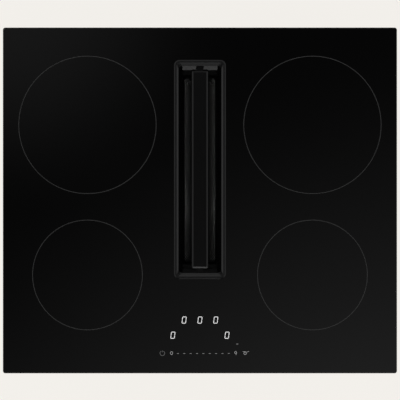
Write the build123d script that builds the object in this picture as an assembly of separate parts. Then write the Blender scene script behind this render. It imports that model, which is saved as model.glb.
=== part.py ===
from build123d import *
import os
from math import cos, radians, sin, sqrt

# All sizes are millimetres. X runs to the right, Y to the back and Z up. The origin is the
# middle of the glass outline, at the height of the worktop that the glass seal lies on.

# Glass and its seal
glass_width = 571
glass_depth = 501
glass_thickness = 4
glass_corner_radius = 3.5
glass_edge_bevel = 0.6
seal_thickness = 1.5
seal_width = 8
seal_inset = 1.5

# Extraction frame in the glass
vent_center_y = 44.8
mouth_width = 62.3
mouth_length = 300
mouth_corner_radius = 6
mouth_drop = 0.9
flange_side_width = 6.35
flange_end_width = 8.75
flange_corner_radius = 8
flange_edge_height = 0.6
flange_slope_height = 1.2
flange_slope_width = 1.6
flange_land_width = 2.2
funnel_inset = 5.8
funnel_depth = 14
neck_height = 17.5
neck_corner_radius = 3
collar_wall = 1.6
cutout_clearance = 0.75
gasket_thickness = 0.5
gasket_inset = 2.4

# Lift-out inlet bar
bar_width = 23.2
bar_end_gap = 7
bar_corner_radius = 2
bar_bevel_width = 2.2
bar_bevel_height = 1.5
bar_side_height = 9
bar_keel_height = 13
bar_keel_width = 5
bar_keel_end_slope = 20
bar_drop = 0.7
lug_width = 10.4
lug_thickness = 3
lug_drop = 5.4
lug_side_clearance = 0.3

# Duct below the frame
duct_wall = 2
duct_clearance = 1.05
duct_flange_overlap = 8
duct_end_below_tray = 5
duct_socket_clearance = 0.3
duct_pocket_clearance = 0.5
ledge_thickness = 3
ledge_depth = 29
ledge_reach = 6.2

# Lift-out grease filter
filter_side_gap = 1.2
filter_end_gap = 2
filter_rim_width = 1.5
filter_rim_thickness = 2
filter_depth = 32
filter_floor_width = 7
filter_sheet = 0.8
filter_tab_width = 24
filter_tab_length = 6
filter_slot_count = 32
filter_slot_width = 3.6
filter_slot_margin = 4

# Lift-out overflow tray
overflow_side_gap = 2.35
overflow_end_gap = 1
overflow_height = 36
overflow_wall = 1.2
overflow_corner_radius = 9
overflow_rim = 2.4

# Sheet metal tray below the glass
tray_edge_inset = 12
tray_height = 52.5
tray_sheet = 1
tray_rim = 8
bead_width = 12
bead_length = 220
bead_height = 2.5
bead_pitch = 30
bead_count = 4
bead_center_y = 20
bond_thickness = 1
bond_width = 6
tray_duct_clearance = 1
wall_slot_width = 5
wall_slot_height = 20
wall_slot_pitch = 14
wall_slot_count = 10
wall_slot_center_y = 60
wall_slot_drop = 10

# Cooking zones
zone_side_distance = 122.5
rear_zone_y = 109.5
front_zone_y = -108
rear_coil_diameter = 184
front_coil_diameter = 146
coil_bore = 48
coil_thickness = 4.2
insulation_thickness = 0.6
insulation_inset = 8
insulation_hole_radius = 9
insulation_control_clearance = 1
carrier_bore_radius = 8
carrier_arm_count = 8
carrier_arm_width = 16
carrier_height = 7
ferrite_width = 12
ferrite_height = 4
ferrite_clearance = 0.2
ferrite_start = 26
ferrite_end_margin = 4
sensor_radius = 6
sensor_flange_radius = 10
sensor_flange_thickness = 1.5
sensor_sides = 8

# Coil plates and their springs
coil_plate_side_gap = 8.5
coil_plate_end_gap = 6.5
coil_plate_duct_gap = 6.5
coil_plate_thickness = 1.5
coil_plate_corner_radius = 8
coil_plate_lip = 5
coil_plate_window_width = 90
coil_plate_window_depth = 45
spring_width = 8
spring_length = 34
spring_strip = 0.6
spring_height = 5.5
spring_orbit = 40
spring_count = 3
pillar_radius = 4
pillar_inset = 12
pillar_sides = 6

# Power electronics
board_thickness = 1.6
power_board_width = 184
power_board_length = 270
power_board_side_gap = 28.5
power_board_center_y = 62
board_standoff_height = 8
board_standoff_radius = 3
board_standoff_inset = 7
heat_sink_width = 70
heat_sink_length = 210
heat_sink_base = 4
heat_sink_height = 20
heat_sink_fin = 1.4
heat_sink_fin_count = 10
heat_sink_offset_x = -24
capacitor_width = 18
capacitor_length = 32
capacitor_height = 18
capacitor_count = 4
capacitor_pitch = 48
capacitor_offset_x = 52
choke_radius = 14
choke_sides = 16
choke_bore_radius = 5
choke_height = 14
choke_offset_y = 112

# Cooling fans on the tray floor
fan_frame_size = 80
fan_frame_height = 20
fan_duct_radius = 37.5
fan_side_distance = 144.5
fan_front_distance = 72.5
fan_floor = 2
fan_strut_width = 5
fan_boss_radius = 16
fan_hub_sides = 14
fan_boss_height = 2
fan_hub_radius = 16
fan_hub_height = 13
fan_blade_count = 7
fan_blade_clearance = 1.5
fan_blade_thickness = 1.4
fan_blade_chord = 17
fan_blade_pitch = 38
fan_axle_radius = 2
axle_sides = 8
fan_axle_length = 7
running_clearance = 0.08
rotor_end_gap = 0.4
grille_slot_count = 6
grille_slot_width = 6
grille_rib_width = 4

# Mains connection
mains_board_width = 82
mains_board_length = 100
mains_board_side_gap = 12.5
mains_capacitor_width = 26
mains_capacitor_length = 30
mains_capacitor_height = 20
mains_capacitor_offset = 25
terminal_box_width = 96
terminal_box_depth = 58
terminal_box_height = 30
terminal_box_wall = 2.5
terminal_box_side_distance = 87.5
terminal_box_back_distance = 58.5
terminal_block_width = 66
terminal_block_depth = 24
terminal_block_height = 18
terminal_bore_count = 5
terminal_bore_size = 4.8
terminal_bore_pitch = 12
terminal_bore_floor = 3
cable_bore_radius = 7
cable_boss_radius = 11
cable_boss_length = 9

# Touch control behind the front edge
control_width = 158
control_depth = 69
control_front_distance = 55.2
control_wall = 2
control_corner_radius = 2
control_height = 15
control_board_drop = 9
control_board_clearance = 0.5
control_post_radius = 2.5
control_post_inset = 8
display_width = 13
display_depth = 16
touch_pad_size = 6
touch_row_offset_y = -26.2
touch_row_start_x = -54.5
touch_row_pitch = 12.05
touch_row_count = 11
upper_display_pitch = 22.9
upper_display_offset_y = 22
lower_display_x = 39.2
lower_display_offset_y = 0.3

# Air box, sump and fan housing below the tray
air_box_wall = 2.5
air_box_height = 51
air_box_right = 266
air_box_corner_radius = 10
air_box_lip_height = 8
air_box_lip_gap = 0.4
sump_side_reach = 12.65
sump_end_reach = 9.8
sump_flange = 6
base_z = -190

# Main fan
impeller_center_x = 155
impeller_center_y = 30
impeller_radius = 70
impeller_blade_depth = 13
impeller_blade_count = 36
impeller_blade_thickness = 1.2
impeller_blade_bow = 2
impeller_blade_sweep = 9
impeller_plate = 1.8
impeller_height = 60
impeller_bottom_gap = 8
hub_cup_radius = 41
hub_cup_height = 34
hub_boss_radius = 9
hub_boss_sides = 12
hub_boss_height = 7
shaft_radius = 4
motor_radius = 37
motor_gap = 1.5
motor_flange_size = 76
motor_flange_thickness = 2
motor_mount_size = 10
motor_mount_inset = 7

# Spiral housing
volute_wall = 2.5
volute_first_radius = 80
volute_growth = 11
volute_cover_overhang = 2.5
tongue_angle = 55
outlet_run = 75
inlet_radius = 56
inlet_lip_radius = 9
inlet_lip_steps = 2
inlet_throat_length = 5
inlet_hole_clearance = 0.4

# Outlet duct behind the spiral housing
spigot_width = 218
spigot_height = 85
spigot_corner_radius = 6
spigot_length = 28
spigot_end_y = 238
spigot_center_x = 165

# Clamps that hold the cooktop in the worktop
clamp_width = 16
clamp_leg_height = 14
clamp_sheet = 1.5
clamp_end_inset = 18.5
clamp_screw_radius = 2.5
clamp_screw_inset = 5
clamp_screw_length = 16
clamp_pad_radius = 4
clamp_pad_height = 2
clamp_pad_gap = 0.5
screw_sides = 6

# Heights worked out from the sizes above
glass_bottom_z = seal_thickness
glass_top_z = glass_bottom_z + glass_thickness
flange_bottom_z = glass_top_z + gasket_thickness
ridge_z = flange_bottom_z + flange_edge_height + flange_slope_height
mouth_z = ridge_z - mouth_drop
funnel_bottom_z = ridge_z - funnel_depth
neck_bottom_z = funnel_bottom_z - neck_height
bar_top_z = mouth_z - bar_drop
lug_top_z = bar_top_z - lug_drop
lug_bottom_z = lug_top_z - lug_thickness
tray_top_z = glass_bottom_z - bond_thickness
tray_bottom_z = tray_top_z - tray_height - tray_sheet
tray_floor_z = tray_bottom_z + tray_sheet
air_box_floor_z = tray_bottom_z - air_box_height
filter_rim_z = -ledge_depth + filter_rim_thickness
coil_top_z = glass_bottom_z - insulation_thickness
carrier_top_z = coil_top_z - coil_thickness
carrier_bottom_z = carrier_top_z - carrier_height
coil_plate_top_z = carrier_bottom_z - spring_height
coil_plate_bottom_z = coil_plate_top_z - coil_plate_thickness
power_board_z = tray_floor_z + board_standoff_height
control_board_z = glass_bottom_z - control_board_drop

# Plan sizes of the air path, worked out from the mouth
flange_width = mouth_width + 2 * flange_side_width
flange_length = mouth_length + 2 * flange_end_width
neck_width = mouth_width - 2 * funnel_inset
neck_length = mouth_length - 2 * funnel_inset
funnel_slope = funnel_inset / (mouth_z - funnel_bottom_z)
bar_length = mouth_length - 2 * bar_end_gap
ledge_gap = neck_length - 2 * ledge_reach
filter_width = neck_width - 2 * filter_side_gap
filter_length = ledge_gap - 2 * filter_end_gap
overflow_width = neck_width - 2 * overflow_side_gap
overflow_length = ledge_gap - 2 * overflow_end_gap
sump_width = neck_width + 2 * sump_side_reach
sump_length = neck_length + 2 * sump_end_reach
air_box_left = -sump_width / 2 - sump_flange
air_box_length = sump_length + 2 * sump_flange

# Plan sizes and places inside the tray, worked out from the glass
tray_width = glass_width - 2 * tray_edge_inset
tray_depth = glass_depth - 2 * tray_edge_inset
tray_inner_x = tray_width / 2 - tray_sheet
tray_inner_y = tray_depth / 2 - tray_sheet
zone_x = glass_width / 2 - zone_side_distance
duct_flange_x = mouth_width / 2 + collar_wall + cutout_clearance + duct_flange_overlap
coil_plate_width = tray_inner_x - coil_plate_side_gap - duct_flange_x - coil_plate_duct_gap
coil_plate_depth = 2 * (tray_inner_y - coil_plate_end_gap)
coil_plate_center_x = tray_inner_x - coil_plate_side_gap - coil_plate_width / 2
power_board_center_x = tray_inner_x - power_board_side_gap - power_board_width / 2
fan_center_x = tray_inner_x - fan_side_distance
fan_center_y = fan_front_distance - tray_inner_y
mains_board_center_x = mains_board_side_gap + mains_board_width / 2 - tray_inner_x
terminal_box_center_x = terminal_box_side_distance - tray_width / 2
terminal_box_center_y = tray_depth / 2 - terminal_box_back_distance
control_center_y = control_front_distance - glass_depth / 2
clamp_screw_x = tray_width / 2 + clamp_pad_radius + clamp_pad_gap
clamp_y = tray_depth / 2 - clamp_end_inset

vent_center = (0, vent_center_y)
zones = {
    "rear_left": (-zone_x, rear_zone_y, rear_coil_diameter / 2),
    "rear_right": (zone_x, rear_zone_y, rear_coil_diameter / 2),
    "front_left": (-zone_x, front_zone_y, front_coil_diameter / 2),
    "front_right": (zone_x, front_zone_y, front_coil_diameter / 2),
}
sides = {"left": -1, "right": 1}


def outline(width, depth, radius):
    """Flat rectangle, with rounded corners unless the radius is zero."""
    return RectangleRounded(width, depth, radius) if radius else Rectangle(width, depth)


def plate(width, depth, radius, low, high, center=(0, 0)):
    """Level plate between two heights."""
    return extrude(Pos(center[0], center[1], low) * outline(width, depth, radius), high - low)


def frame_ring(width, depth, radius, band, low, high, center=(0, 0)):
    """Level rectangular ring whose band has the same width all round."""
    outer = (width, depth, radius)
    return plate(*outer, low, high, center) - plate(*grown(outer, -band), low, high, center)


def taper(low_size, high_size, low, high, center=(0, 0)):
    """Straight-sided loft between two rectangles at two heights."""
    low_face = Pos(center[0], center[1], low) * outline(*low_size)
    high_face = Pos(center[0], center[1], high) * outline(*high_size)
    return loft([low_face, high_face], ruled=True)


def block(x_range, y_range, z_range):
    """Square-edged block between two corners."""
    spans = (x_range, y_range, z_range)
    middle = [(low + high) / 2 for low, high in spans]
    size = [high - low for low, high in spans]
    return Pos(*middle) * Box(*size)


def post(radius, low, high, x=0, y=0):
    """Upright cylinder between two heights."""
    return extrude(Pos(x, y, low) * Circle(radius), high - low)


def prism(radius, side_count, low, high, x=0, y=0):
    """Upright prism with flat sides between two heights."""
    return extrude(Pos(x, y, low) * RegularPolygon(radius, side_count), high - low)


def axle_socket(axle_radius, low, high):
    """Eight-sided hole whose flats clear a turning axle."""
    radius = (axle_radius + running_clearance) / cos(radians(180 / axle_sides))
    return prism(radius, axle_sides, low, high)


def tube(outer_radius, inner_radius, low, high, x=0, y=0):
    """Upright tube between two heights."""
    return post(outer_radius, low, high, x, y) - post(inner_radius, low, high, x, y)


def grown(size, amount):
    """Rectangle (width, depth, corner radius) grown on every side; a square corner stays square."""
    width, depth, radius = size
    return (width + 2 * amount, depth + 2 * amount, max(radius + amount, 0) if radius else 0)


def group(solids):
    """Separate solids held in one node."""
    return Compound(children=list(solids))


mouth_size = (mouth_width, mouth_length, mouth_corner_radius)
neck_size = (neck_width, neck_length, neck_corner_radius)
cutout_size = grown(mouth_size, collar_wall + cutout_clearance)
tray_size = (tray_width, tray_depth, 0)
control_size = (control_width, control_depth, control_corner_radius)
control_center = (0, control_center_y)


# Glass, seals and extraction frame


def make_glass():
    rim_z = glass_top_z - glass_edge_bevel
    full = (glass_width, glass_depth, glass_corner_radius)
    pane = plate(*full, glass_bottom_z, rim_z)
    pane += taper(full, grown(full, -glass_edge_bevel), rim_z, glass_top_z)
    return pane - plate(*cutout_size, glass_bottom_z, glass_top_z, vent_center)


def make_worktop_seal():
    size = grown((glass_width, glass_depth, 0), -seal_inset)
    return frame_ring(*size, seal_width, 0, seal_thickness)


def make_frame_gasket():
    outer = grown((flange_width, flange_length, 0), -gasket_inset)
    sheet = plate(*outer, glass_top_z, flange_bottom_z, vent_center)
    return sheet - plate(*cutout_size, glass_top_z, flange_bottom_z, vent_center)


def make_flange():
    """Raised rim: a bevel up from the glass, a flat land, then a gentle slope down to the mouth."""
    foot = (flange_width, flange_length, flange_corner_radius)
    ridge = grown(foot, -flange_slope_width)
    land = grown(ridge, -flange_land_width)
    edge_z = flange_bottom_z + flange_edge_height
    rim = plate(*foot, flange_bottom_z, edge_z, vent_center)
    rim += taper(foot, ridge, edge_z, ridge_z, vent_center)
    return rim - taper(mouth_size, land, mouth_z, ridge_z, vent_center)


def lug_pocket(end, reach, high):
    """Pocket for a lug at one end of the frame, with its walls moved outwards."""
    half_width = lug_width / 2 + lug_side_clearance + reach
    outer_y = mouth_length / 2 + reach
    y_pair = sorted((vent_center_y + end * bar_length / 2, vent_center_y + end * outer_y))
    return block((-half_width, half_width), y_pair, (lug_bottom_z - reach, high))


def make_vent_frame():
    neck_outer = grown(neck_size, collar_wall)
    mouth_outer = grown(mouth_size, collar_wall)
    body = make_flange()
    body += taper(neck_outer, mouth_outer, funnel_bottom_z, mouth_z, vent_center)
    body += plate(*neck_outer, neck_bottom_z, funnel_bottom_z, vent_center)
    for end in (-1, 1):
        body += lug_pocket(end, collar_wall, mouth_z)
    body -= taper(neck_size, mouth_size, funnel_bottom_z, mouth_z, vent_center)
    body -= plate(*neck_size, neck_bottom_z, funnel_bottom_z, vent_center)
    for end in (-1, 1):
        body -= lug_pocket(end, 0, ridge_z)
    return body


# Pieces that lift out through the frame


def make_inlet_bar():
    """Bar with bevelled edges and a keel that splits the air between the two slots."""
    half = bar_width / 2
    bevel_z = bar_top_z - bar_bevel_height
    side_z = bevel_z - bar_side_height
    keel_z = side_z - bar_keel_height
    section = [
        (bar_bevel_width - half, bar_top_z),
        (half - bar_bevel_width, bar_top_z),
        (half, bevel_z),
        (half, side_z),
        (bar_keel_width / 2, keel_z),
        (-bar_keel_width / 2, keel_z),
        (-half, side_z),
        (-half, bevel_z),
    ]
    half_length = bar_length / 2
    elevation = [
        (bar_bevel_width - half_length, bar_top_z),
        (half_length - bar_bevel_width, bar_top_z),
        (half_length, bevel_z),
        (half_length, side_z),
        (half_length - bar_keel_end_slope, keel_z),
        (bar_keel_end_slope - half_length, keel_z),
        (-half_length, side_z),
        (-half_length, bevel_z),
    ]
    across = Plane.XZ * Polygon(*section, align=None)
    along = Plane.YZ * Polygon(*elevation, align=None)
    bar = extrude(across, half_length, both=True) & extrude(along, half, both=True)
    bar &= plate(bar_width, bar_length, bar_corner_radius, keel_z, bar_top_z)
    lug_reach = mouth_length / 2 - lug_side_clearance
    bar += block((-lug_width / 2, lug_width / 2), (-lug_reach, lug_reach), (lug_bottom_z, lug_top_z))
    return Pos(0, vent_center_y, 0) * bar


def make_inlet_duct():
    """Duct with a funnel under the glass, a shoulder for the frame and ledges for the filter."""
    neck = (neck_width, neck_length, 0)
    shoulder = grown(neck, collar_wall + duct_clearance)
    top = grown(shoulder, (glass_bottom_z - funnel_bottom_z) * funnel_slope)
    flange = grown((mouth_width, mouth_length, 0), collar_wall + cutout_clearance + duct_flange_overlap)
    bottom_z = tray_bottom_z - duct_end_below_tray
    ledge_z = -ledge_depth - ledge_thickness
    pocket_reach = collar_wall + duct_pocket_clearance
    body = plate(*flange, glass_bottom_z - duct_wall, glass_bottom_z, vent_center)
    funnel = (grown(shoulder, duct_wall), grown(top, duct_wall))
    body += taper(*funnel, funnel_bottom_z, glass_bottom_z, vent_center)
    body += plate(*grown(shoulder, duct_wall), neck_bottom_z - duct_wall, funnel_bottom_z, vent_center)
    body += plate(*grown(neck, duct_wall), bottom_z, neck_bottom_z, vent_center)
    for end in (-1, 1):
        body += lug_pocket(end, pocket_reach + duct_wall, glass_bottom_z)
    for end in (-1, 1):
        body -= lug_pocket(end, pocket_reach, glass_bottom_z)
    body -= taper(shoulder, top, funnel_bottom_z, glass_bottom_z, vent_center)
    body -= plate(*shoulder, neck_bottom_z, funnel_bottom_z, vent_center)
    body -= plate(*neck, -ledge_depth, neck_bottom_z, vent_center)
    body -= plate(neck_width, ledge_gap, 0, ledge_z, -ledge_depth, vent_center)
    return body - plate(*neck, bottom_z, ledge_z, vent_center)


def filter_section(inset):
    """V-shaped section of the filter trough, moved inwards by the sheet's thickness."""
    half_top = filter_width / 2 - filter_rim_width - inset
    half_floor = filter_floor_width / 2 - inset / 2
    bottom_z = filter_rim_z - filter_depth + inset
    top_z = -ledge_depth
    corners = [(-half_top, top_z), (half_top, top_z), (half_floor, bottom_z), (-half_floor, bottom_z)]
    return Plane.XZ * Polygon(*corners, align=None)


def make_filter_frame():
    """Rim with end tabs that rest on the duct ledges, and the two end plates of the trough."""
    low = -ledge_depth
    size = (filter_width, filter_length, 0)
    frame = frame_ring(*size, filter_rim_width, low, filter_rim_z)
    tab_length = filter_length + 2 * filter_tab_length
    tabs = plate(filter_tab_width, tab_length, 0, low, filter_rim_z)
    frame += tabs - plate(*grown(size, -filter_rim_width / 2), low, filter_rim_z)
    end_y = filter_length / 2 - filter_rim_width
    cheek = extrude(filter_section(-filter_sheet / 2), filter_sheet / 2, both=True)
    for end in (-1, 1):
        frame += Pos(0, end * end_y, 0) * cheek
    return Pos(0, vent_center_y, 0) * frame


def make_filter_mesh():
    """Folded sheet of the trough, with rows of slots through both sloping sides."""
    half_length = filter_length / 2 - filter_rim_width - filter_sheet / 2
    trough = extrude(filter_section(0), half_length, both=True)
    hollow = filter_section(filter_sheet)
    trough -= extrude(hollow, half_length, both=True)
    opening_half = filter_width / 2 - filter_rim_width - filter_sheet
    trough -= block(
        (-opening_half, opening_half),
        (-half_length, half_length),
        (-ledge_depth - filter_sheet, -ledge_depth),
    )
    slot_high = -ledge_depth - filter_slot_margin
    slot_low = filter_rim_z - filter_depth + filter_slot_margin
    pitch = 2 * half_length / (filter_slot_count + 1)
    slots = []
    for place in range(1, filter_slot_count + 1):
        start = place * pitch - half_length - filter_slot_width / 2
        slots.append(
            block((-filter_width, filter_width), (start, start + filter_slot_width), (slot_low, slot_high))
        )
    return Pos(0, vent_center_y, 0) * (trough - slots)


def make_overflow_tray():
    low = base_z + air_box_wall
    high = low + overflow_height
    rim = (overflow_width, overflow_length, overflow_corner_radius)
    bowl = grown(rim, -overflow_rim)
    body = plate(*bowl, low, high, vent_center)
    body += plate(*rim, high - overflow_wall, high, vent_center)
    return body - plate(*grown(bowl, -overflow_wall), low + overflow_wall, high, vent_center)


# Sheet metal tray


def grille_slots(x, y):
    """Straight slots of one cooling air intake, as long as the round fan behind them allows."""
    cutters = []
    for place in range(grille_slot_count):
        offset = (place - (grille_slot_count - 1) / 2) * (grille_slot_width + grille_rib_width)
        far_edge = abs(offset) + grille_slot_width / 2
        half_length = sqrt(fan_duct_radius ** 2 - far_edge ** 2)
        y_range = (y + offset - grille_slot_width / 2, y + offset + grille_slot_width / 2)
        for side in sides.values():
            x_pair = sorted((x + side * grille_rib_width / 2, x + side * half_length))
            cutters.append(block(x_pair, y_range, (tray_bottom_z, tray_floor_z)))
    return cutters


def floor_beads(inset):
    """Long beads side by side in the floor left of the air box, with their walls moved inwards."""
    beads = []
    half_width = bead_width / 2 - inset
    half_length = bead_length / 2 - inset
    heights = (tray_bottom_z, tray_floor_z + bead_height - inset)
    for place in range(bead_count):
        x = (place - (bead_count - 1) / 2) * bead_pitch - power_board_center_x
        y_range = (bead_center_y - half_length, bead_center_y + half_length)
        beads.append(block((x - half_width, x + half_width), y_range, heights))
    return beads


def make_hob_tray():
    """Folded sheet metal tray with stamped beads, air slots and a hole for the duct."""
    body = plate(*tray_size, tray_bottom_z, tray_top_z)
    body -= plate(*grown(tray_size, -tray_sheet), tray_floor_z, tray_top_z)
    body += frame_ring(*tray_size, tray_rim, tray_top_z - tray_sheet, tray_top_z)
    body += floor_beads(0)
    body -= floor_beads(tray_sheet)
    duct_hole = grown((neck_width, neck_length, 0), duct_wall + tray_duct_clearance)
    body -= plate(*duct_hole, tray_bottom_z, tray_floor_z, vent_center)
    for side in sides.values():
        body -= grille_slots(side * fan_center_x, fan_center_y)
    slot_high = tray_top_z - wall_slot_drop
    first_y = wall_slot_center_y - (wall_slot_count - 1) * wall_slot_pitch / 2
    for place in range(wall_slot_count):
        y = first_y + place * wall_slot_pitch
        heights = (slot_high - wall_slot_height, slot_high)
        body -= block((-tray_width, tray_width), (y, y + wall_slot_width), heights)
    return body


def make_glass_bond():
    inset = (tray_rim - bond_width) / 2
    size = grown((tray_width, tray_depth, 0), -inset)
    return frame_ring(*size, bond_width, tray_top_z, glass_bottom_z)


# Cooking zones


def make_winding(x, y, radius):
    ring = tube(radius, coil_bore / 2, carrier_top_z, coil_top_z)
    return Pos(x, y, 0) * ring


def carrier_arm_angles():
    return [place * 360 / carrier_arm_count for place in range(carrier_arm_count)]


def make_carrier(x, y, radius):
    """Spokes that meet at a bored hub; each spoke has a channel below for one ferrite bar."""
    half = carrier_arm_width / 2
    heights = (carrier_bottom_z, carrier_top_z)
    spoke = block((0, radius), (-half, half), heights) - ferrite_bar(radius, ferrite_clearance)
    spider = Part() + [Rot(0, 0, angle) * spoke for angle in carrier_arm_angles()]
    spider -= prism(carrier_bore_radius, sensor_sides, *heights)
    return Pos(x, y, 0) * spider


def ferrite_bar(radius, clearance):
    half = ferrite_width / 2 + clearance
    start = ferrite_start - clearance
    end = radius - ferrite_end_margin + clearance
    return block((start, end), (-half, half), (carrier_bottom_z, carrier_bottom_z + ferrite_height))


def make_ferrites(x, y, radius):
    bars = [Pos(x, y, 0) * Rot(0, 0, angle) * ferrite_bar(radius, 0) for angle in carrier_arm_angles()]
    return group(bars)


def make_sensors():
    """Sensor capsules held in the carrier hubs, their faces on the glass."""
    sensors = []
    for x, y, _ in zones.values():
        stem = prism(sensor_radius, sensor_sides, carrier_bottom_z, glass_bottom_z, x, y)
        foot_z = carrier_bottom_z - sensor_flange_thickness
        sensors.append(stem + prism(sensor_flange_radius, sensor_sides, foot_z, carrier_bottom_z, x, y))
    return group(sensors)


def make_insulation(side):
    center = (side * coil_plate_center_x, 0)
    size = grown((coil_plate_width, coil_plate_depth, 0), -insulation_inset)
    sheet = plate(*size, coil_top_z, glass_bottom_z, center)
    for x, y, _ in zones.values():
        sheet -= prism(insulation_hole_radius, sensor_sides, coil_top_z, glass_bottom_z, x, y)
    notch = grown((control_width, control_depth, 0), insulation_control_clearance)
    return sheet - plate(*notch, coil_top_z, glass_bottom_z, control_center)


def make_coil_plate(side):
    """Aluminium plate with turned-down lips that carries two coils on springs."""
    center = (side * coil_plate_center_x, 0)
    size = (coil_plate_width, coil_plate_depth, coil_plate_corner_radius)
    sheet = plate(*size, coil_plate_bottom_z, coil_plate_top_z, center)
    lip_low = coil_plate_bottom_z - coil_plate_lip
    for end in (-1, 1):
        y_pair = sorted((end * coil_plate_depth / 2, end * (coil_plate_depth / 2 - coil_plate_thickness)))
        half = coil_plate_width / 2 - coil_plate_corner_radius
        x_range = (center[0] - half, center[0] + half)
        sheet += block(x_range, y_pair, (lip_low, coil_plate_bottom_z))
    for y in (rear_zone_y, front_zone_y):
        window = (coil_plate_window_width, coil_plate_window_depth, 0)
        sheet -= plate(*window, coil_plate_bottom_z, coil_plate_top_z, (side * zone_x, y))
    return sheet


def make_spring(x, y):
    """Arched strip with flat feet."""
    half = spring_length / 2
    foot = half / 2
    crest = spring_height - spring_strip
    outline = [
        (-half, 0), (-foot, 0), (-foot / 2, crest), (foot / 2, crest), (foot, 0), (half, 0),
        (half, spring_strip), (foot + spring_strip / 2, spring_strip), (foot / 2, spring_height),
        (-foot / 2, spring_height), (-foot - spring_strip / 2, spring_strip), (-half, spring_strip),
    ]
    strip = extrude(Plane.XZ * Polygon(*outline, align=None), spring_width / 2, both=True)
    return Pos(x, y, coil_plate_top_z) * strip


def make_coil_springs():
    springs = []
    for x, y, radius in zones.values():
        orbit = radius - spring_orbit / 2
        for place in range(spring_count):
            angle = radians(90 + place * 360 / spring_count)
            springs.append(make_spring(x + orbit * cos(angle), y + orbit * sin(angle)))
    return group(springs)


def corner_points(center, width, depth, inset):
    """The four points set in from the corners of a rectangle."""
    x_pair = (center[0] - width / 2 + inset, center[0] + width / 2 - inset)
    y_pair = (center[1] - depth / 2 + inset, center[1] + depth / 2 - inset)
    return [(x, y) for x in x_pair for y in y_pair]


def make_tray_pillars():
    """Six-sided pillars under the coil plates and six-sided standoffs under the power boards."""
    pillars = []
    for side in sides.values():
        coil_plate = (side * coil_plate_center_x, 0)
        for x, y in corner_points(coil_plate, coil_plate_width, coil_plate_depth, pillar_inset):
            pillars.append(prism(pillar_radius, pillar_sides, tray_floor_z, coil_plate_bottom_z, x, y))
        board = (side * power_board_center_x, power_board_center_y)
        for x, y in corner_points(board, power_board_width, power_board_length, board_standoff_inset):
            pillars.append(prism(board_standoff_radius, pillar_sides, tray_floor_z, power_board_z, x, y))
    return group(pillars)


# Power electronics


def make_power_board(side):
    center = (side * power_board_center_x, power_board_center_y)
    high = power_board_z + board_thickness
    return plate(power_board_width, power_board_length, 0, power_board_z, high, center)


def make_heat_sink(side):
    """Extruded sink: a base with fins along the air stream."""
    low = power_board_z + board_thickness
    center_x = side * (power_board_center_x + heat_sink_offset_x)
    left = center_x - heat_sink_width / 2
    fin_low = low + heat_sink_base
    y_range = (power_board_center_y - heat_sink_length / 2, power_board_center_y + heat_sink_length / 2)
    sink = block((left, left + heat_sink_width), y_range, (low, fin_low))
    pitch = (heat_sink_width - heat_sink_fin) / (heat_sink_fin_count - 1)
    for place in range(heat_sink_fin_count):
        start = left + place * pitch
        sink += block((start, start + heat_sink_fin), y_range, (fin_low, low + heat_sink_height))
    return sink


def choke_ring(low, x, y):
    """Wound ring core of a choke, as a many-sided ring."""
    core = prism(choke_radius, choke_sides, low, low + choke_height, x, y)
    return core - prism(choke_bore_radius, choke_sides, low, low + choke_height, x, y)


def make_power_parts(side):
    """Film capacitors in a row and a choke behind them."""
    low = power_board_z + board_thickness
    x = side * (power_board_center_x + capacitor_offset_x)
    parts = []
    for place in range(capacitor_count):
        y = power_board_center_y + (place - capacitor_count / 2) * capacitor_pitch
        parts.append(plate(capacitor_width, capacitor_length, 0, low, low + capacitor_height, (x, y)))
    choke_y = power_board_center_y + choke_offset_y
    parts.append(choke_ring(low, x, choke_y))
    return group(parts)


# Cooling fans


def make_cooling_fan_frame(side):
    center = (side * fan_center_x, fan_center_y)
    low = tray_floor_z
    high = low + fan_frame_height
    frame = plate(fan_frame_size, fan_frame_size, 0, low, high, center)
    frame -= post(fan_duct_radius, low, high, *center)
    middle = Pos(center[0], center[1], low + fan_floor / 2)
    frame += middle * Box(2 * fan_duct_radius, fan_strut_width, fan_floor)
    frame += middle * Box(fan_strut_width, 2 * fan_duct_radius, fan_floor)
    boss_top = low + fan_floor + fan_boss_height
    frame += prism(fan_boss_radius, fan_hub_sides, low, boss_top, *center)
    return frame + prism(fan_axle_radius, axle_sides, boss_top, boss_top + fan_axle_length, *center)


def make_cooling_rotor(side):
    """Seven pitched blades on a hub cap that turns on the frame's axle."""
    low = tray_floor_z + fan_floor + fan_boss_height + rotor_end_gap
    high = low + fan_hub_height
    tip = fan_duct_radius - fan_blade_clearance
    mid_z = (low + high) / 2
    rotor = prism(fan_hub_radius, fan_hub_sides, low, high)
    span = tip - fan_hub_radius / 2
    blade = Pos(fan_hub_radius / 2 + span / 2, 0, 0) * Rot(side * fan_blade_pitch, 0, 0)
    blade *= Box(span, fan_blade_chord, fan_blade_thickness)
    for place in range(fan_blade_count):
        rotor += Pos(0, 0, mid_z) * Rot(0, 0, place * 360 / fan_blade_count) * blade
    bore_top = low + fan_axle_length
    rotor -= axle_socket(fan_axle_radius, low, bore_top)
    return Pos(side * fan_center_x, fan_center_y, 0) * rotor


# Mains connection


def make_mains_board():
    center = (mains_board_center_x, fan_center_y)
    high = tray_floor_z + board_thickness
    return plate(mains_board_width, mains_board_length, 0, tray_floor_z, high, center)


def make_mains_filter():
    """Two suppression capacitors and the choke between them."""
    low = tray_floor_z + board_thickness
    high = low + mains_capacitor_height
    parts = []
    for end in (-1, 1):
        center = (mains_board_center_x, fan_center_y + end * (choke_radius + mains_capacitor_offset))
        parts.append(plate(mains_capacitor_width, mains_capacitor_length, 0, low, high, center))
    parts.append(choke_ring(low, mains_board_center_x, fan_center_y))
    return group(parts)


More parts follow.
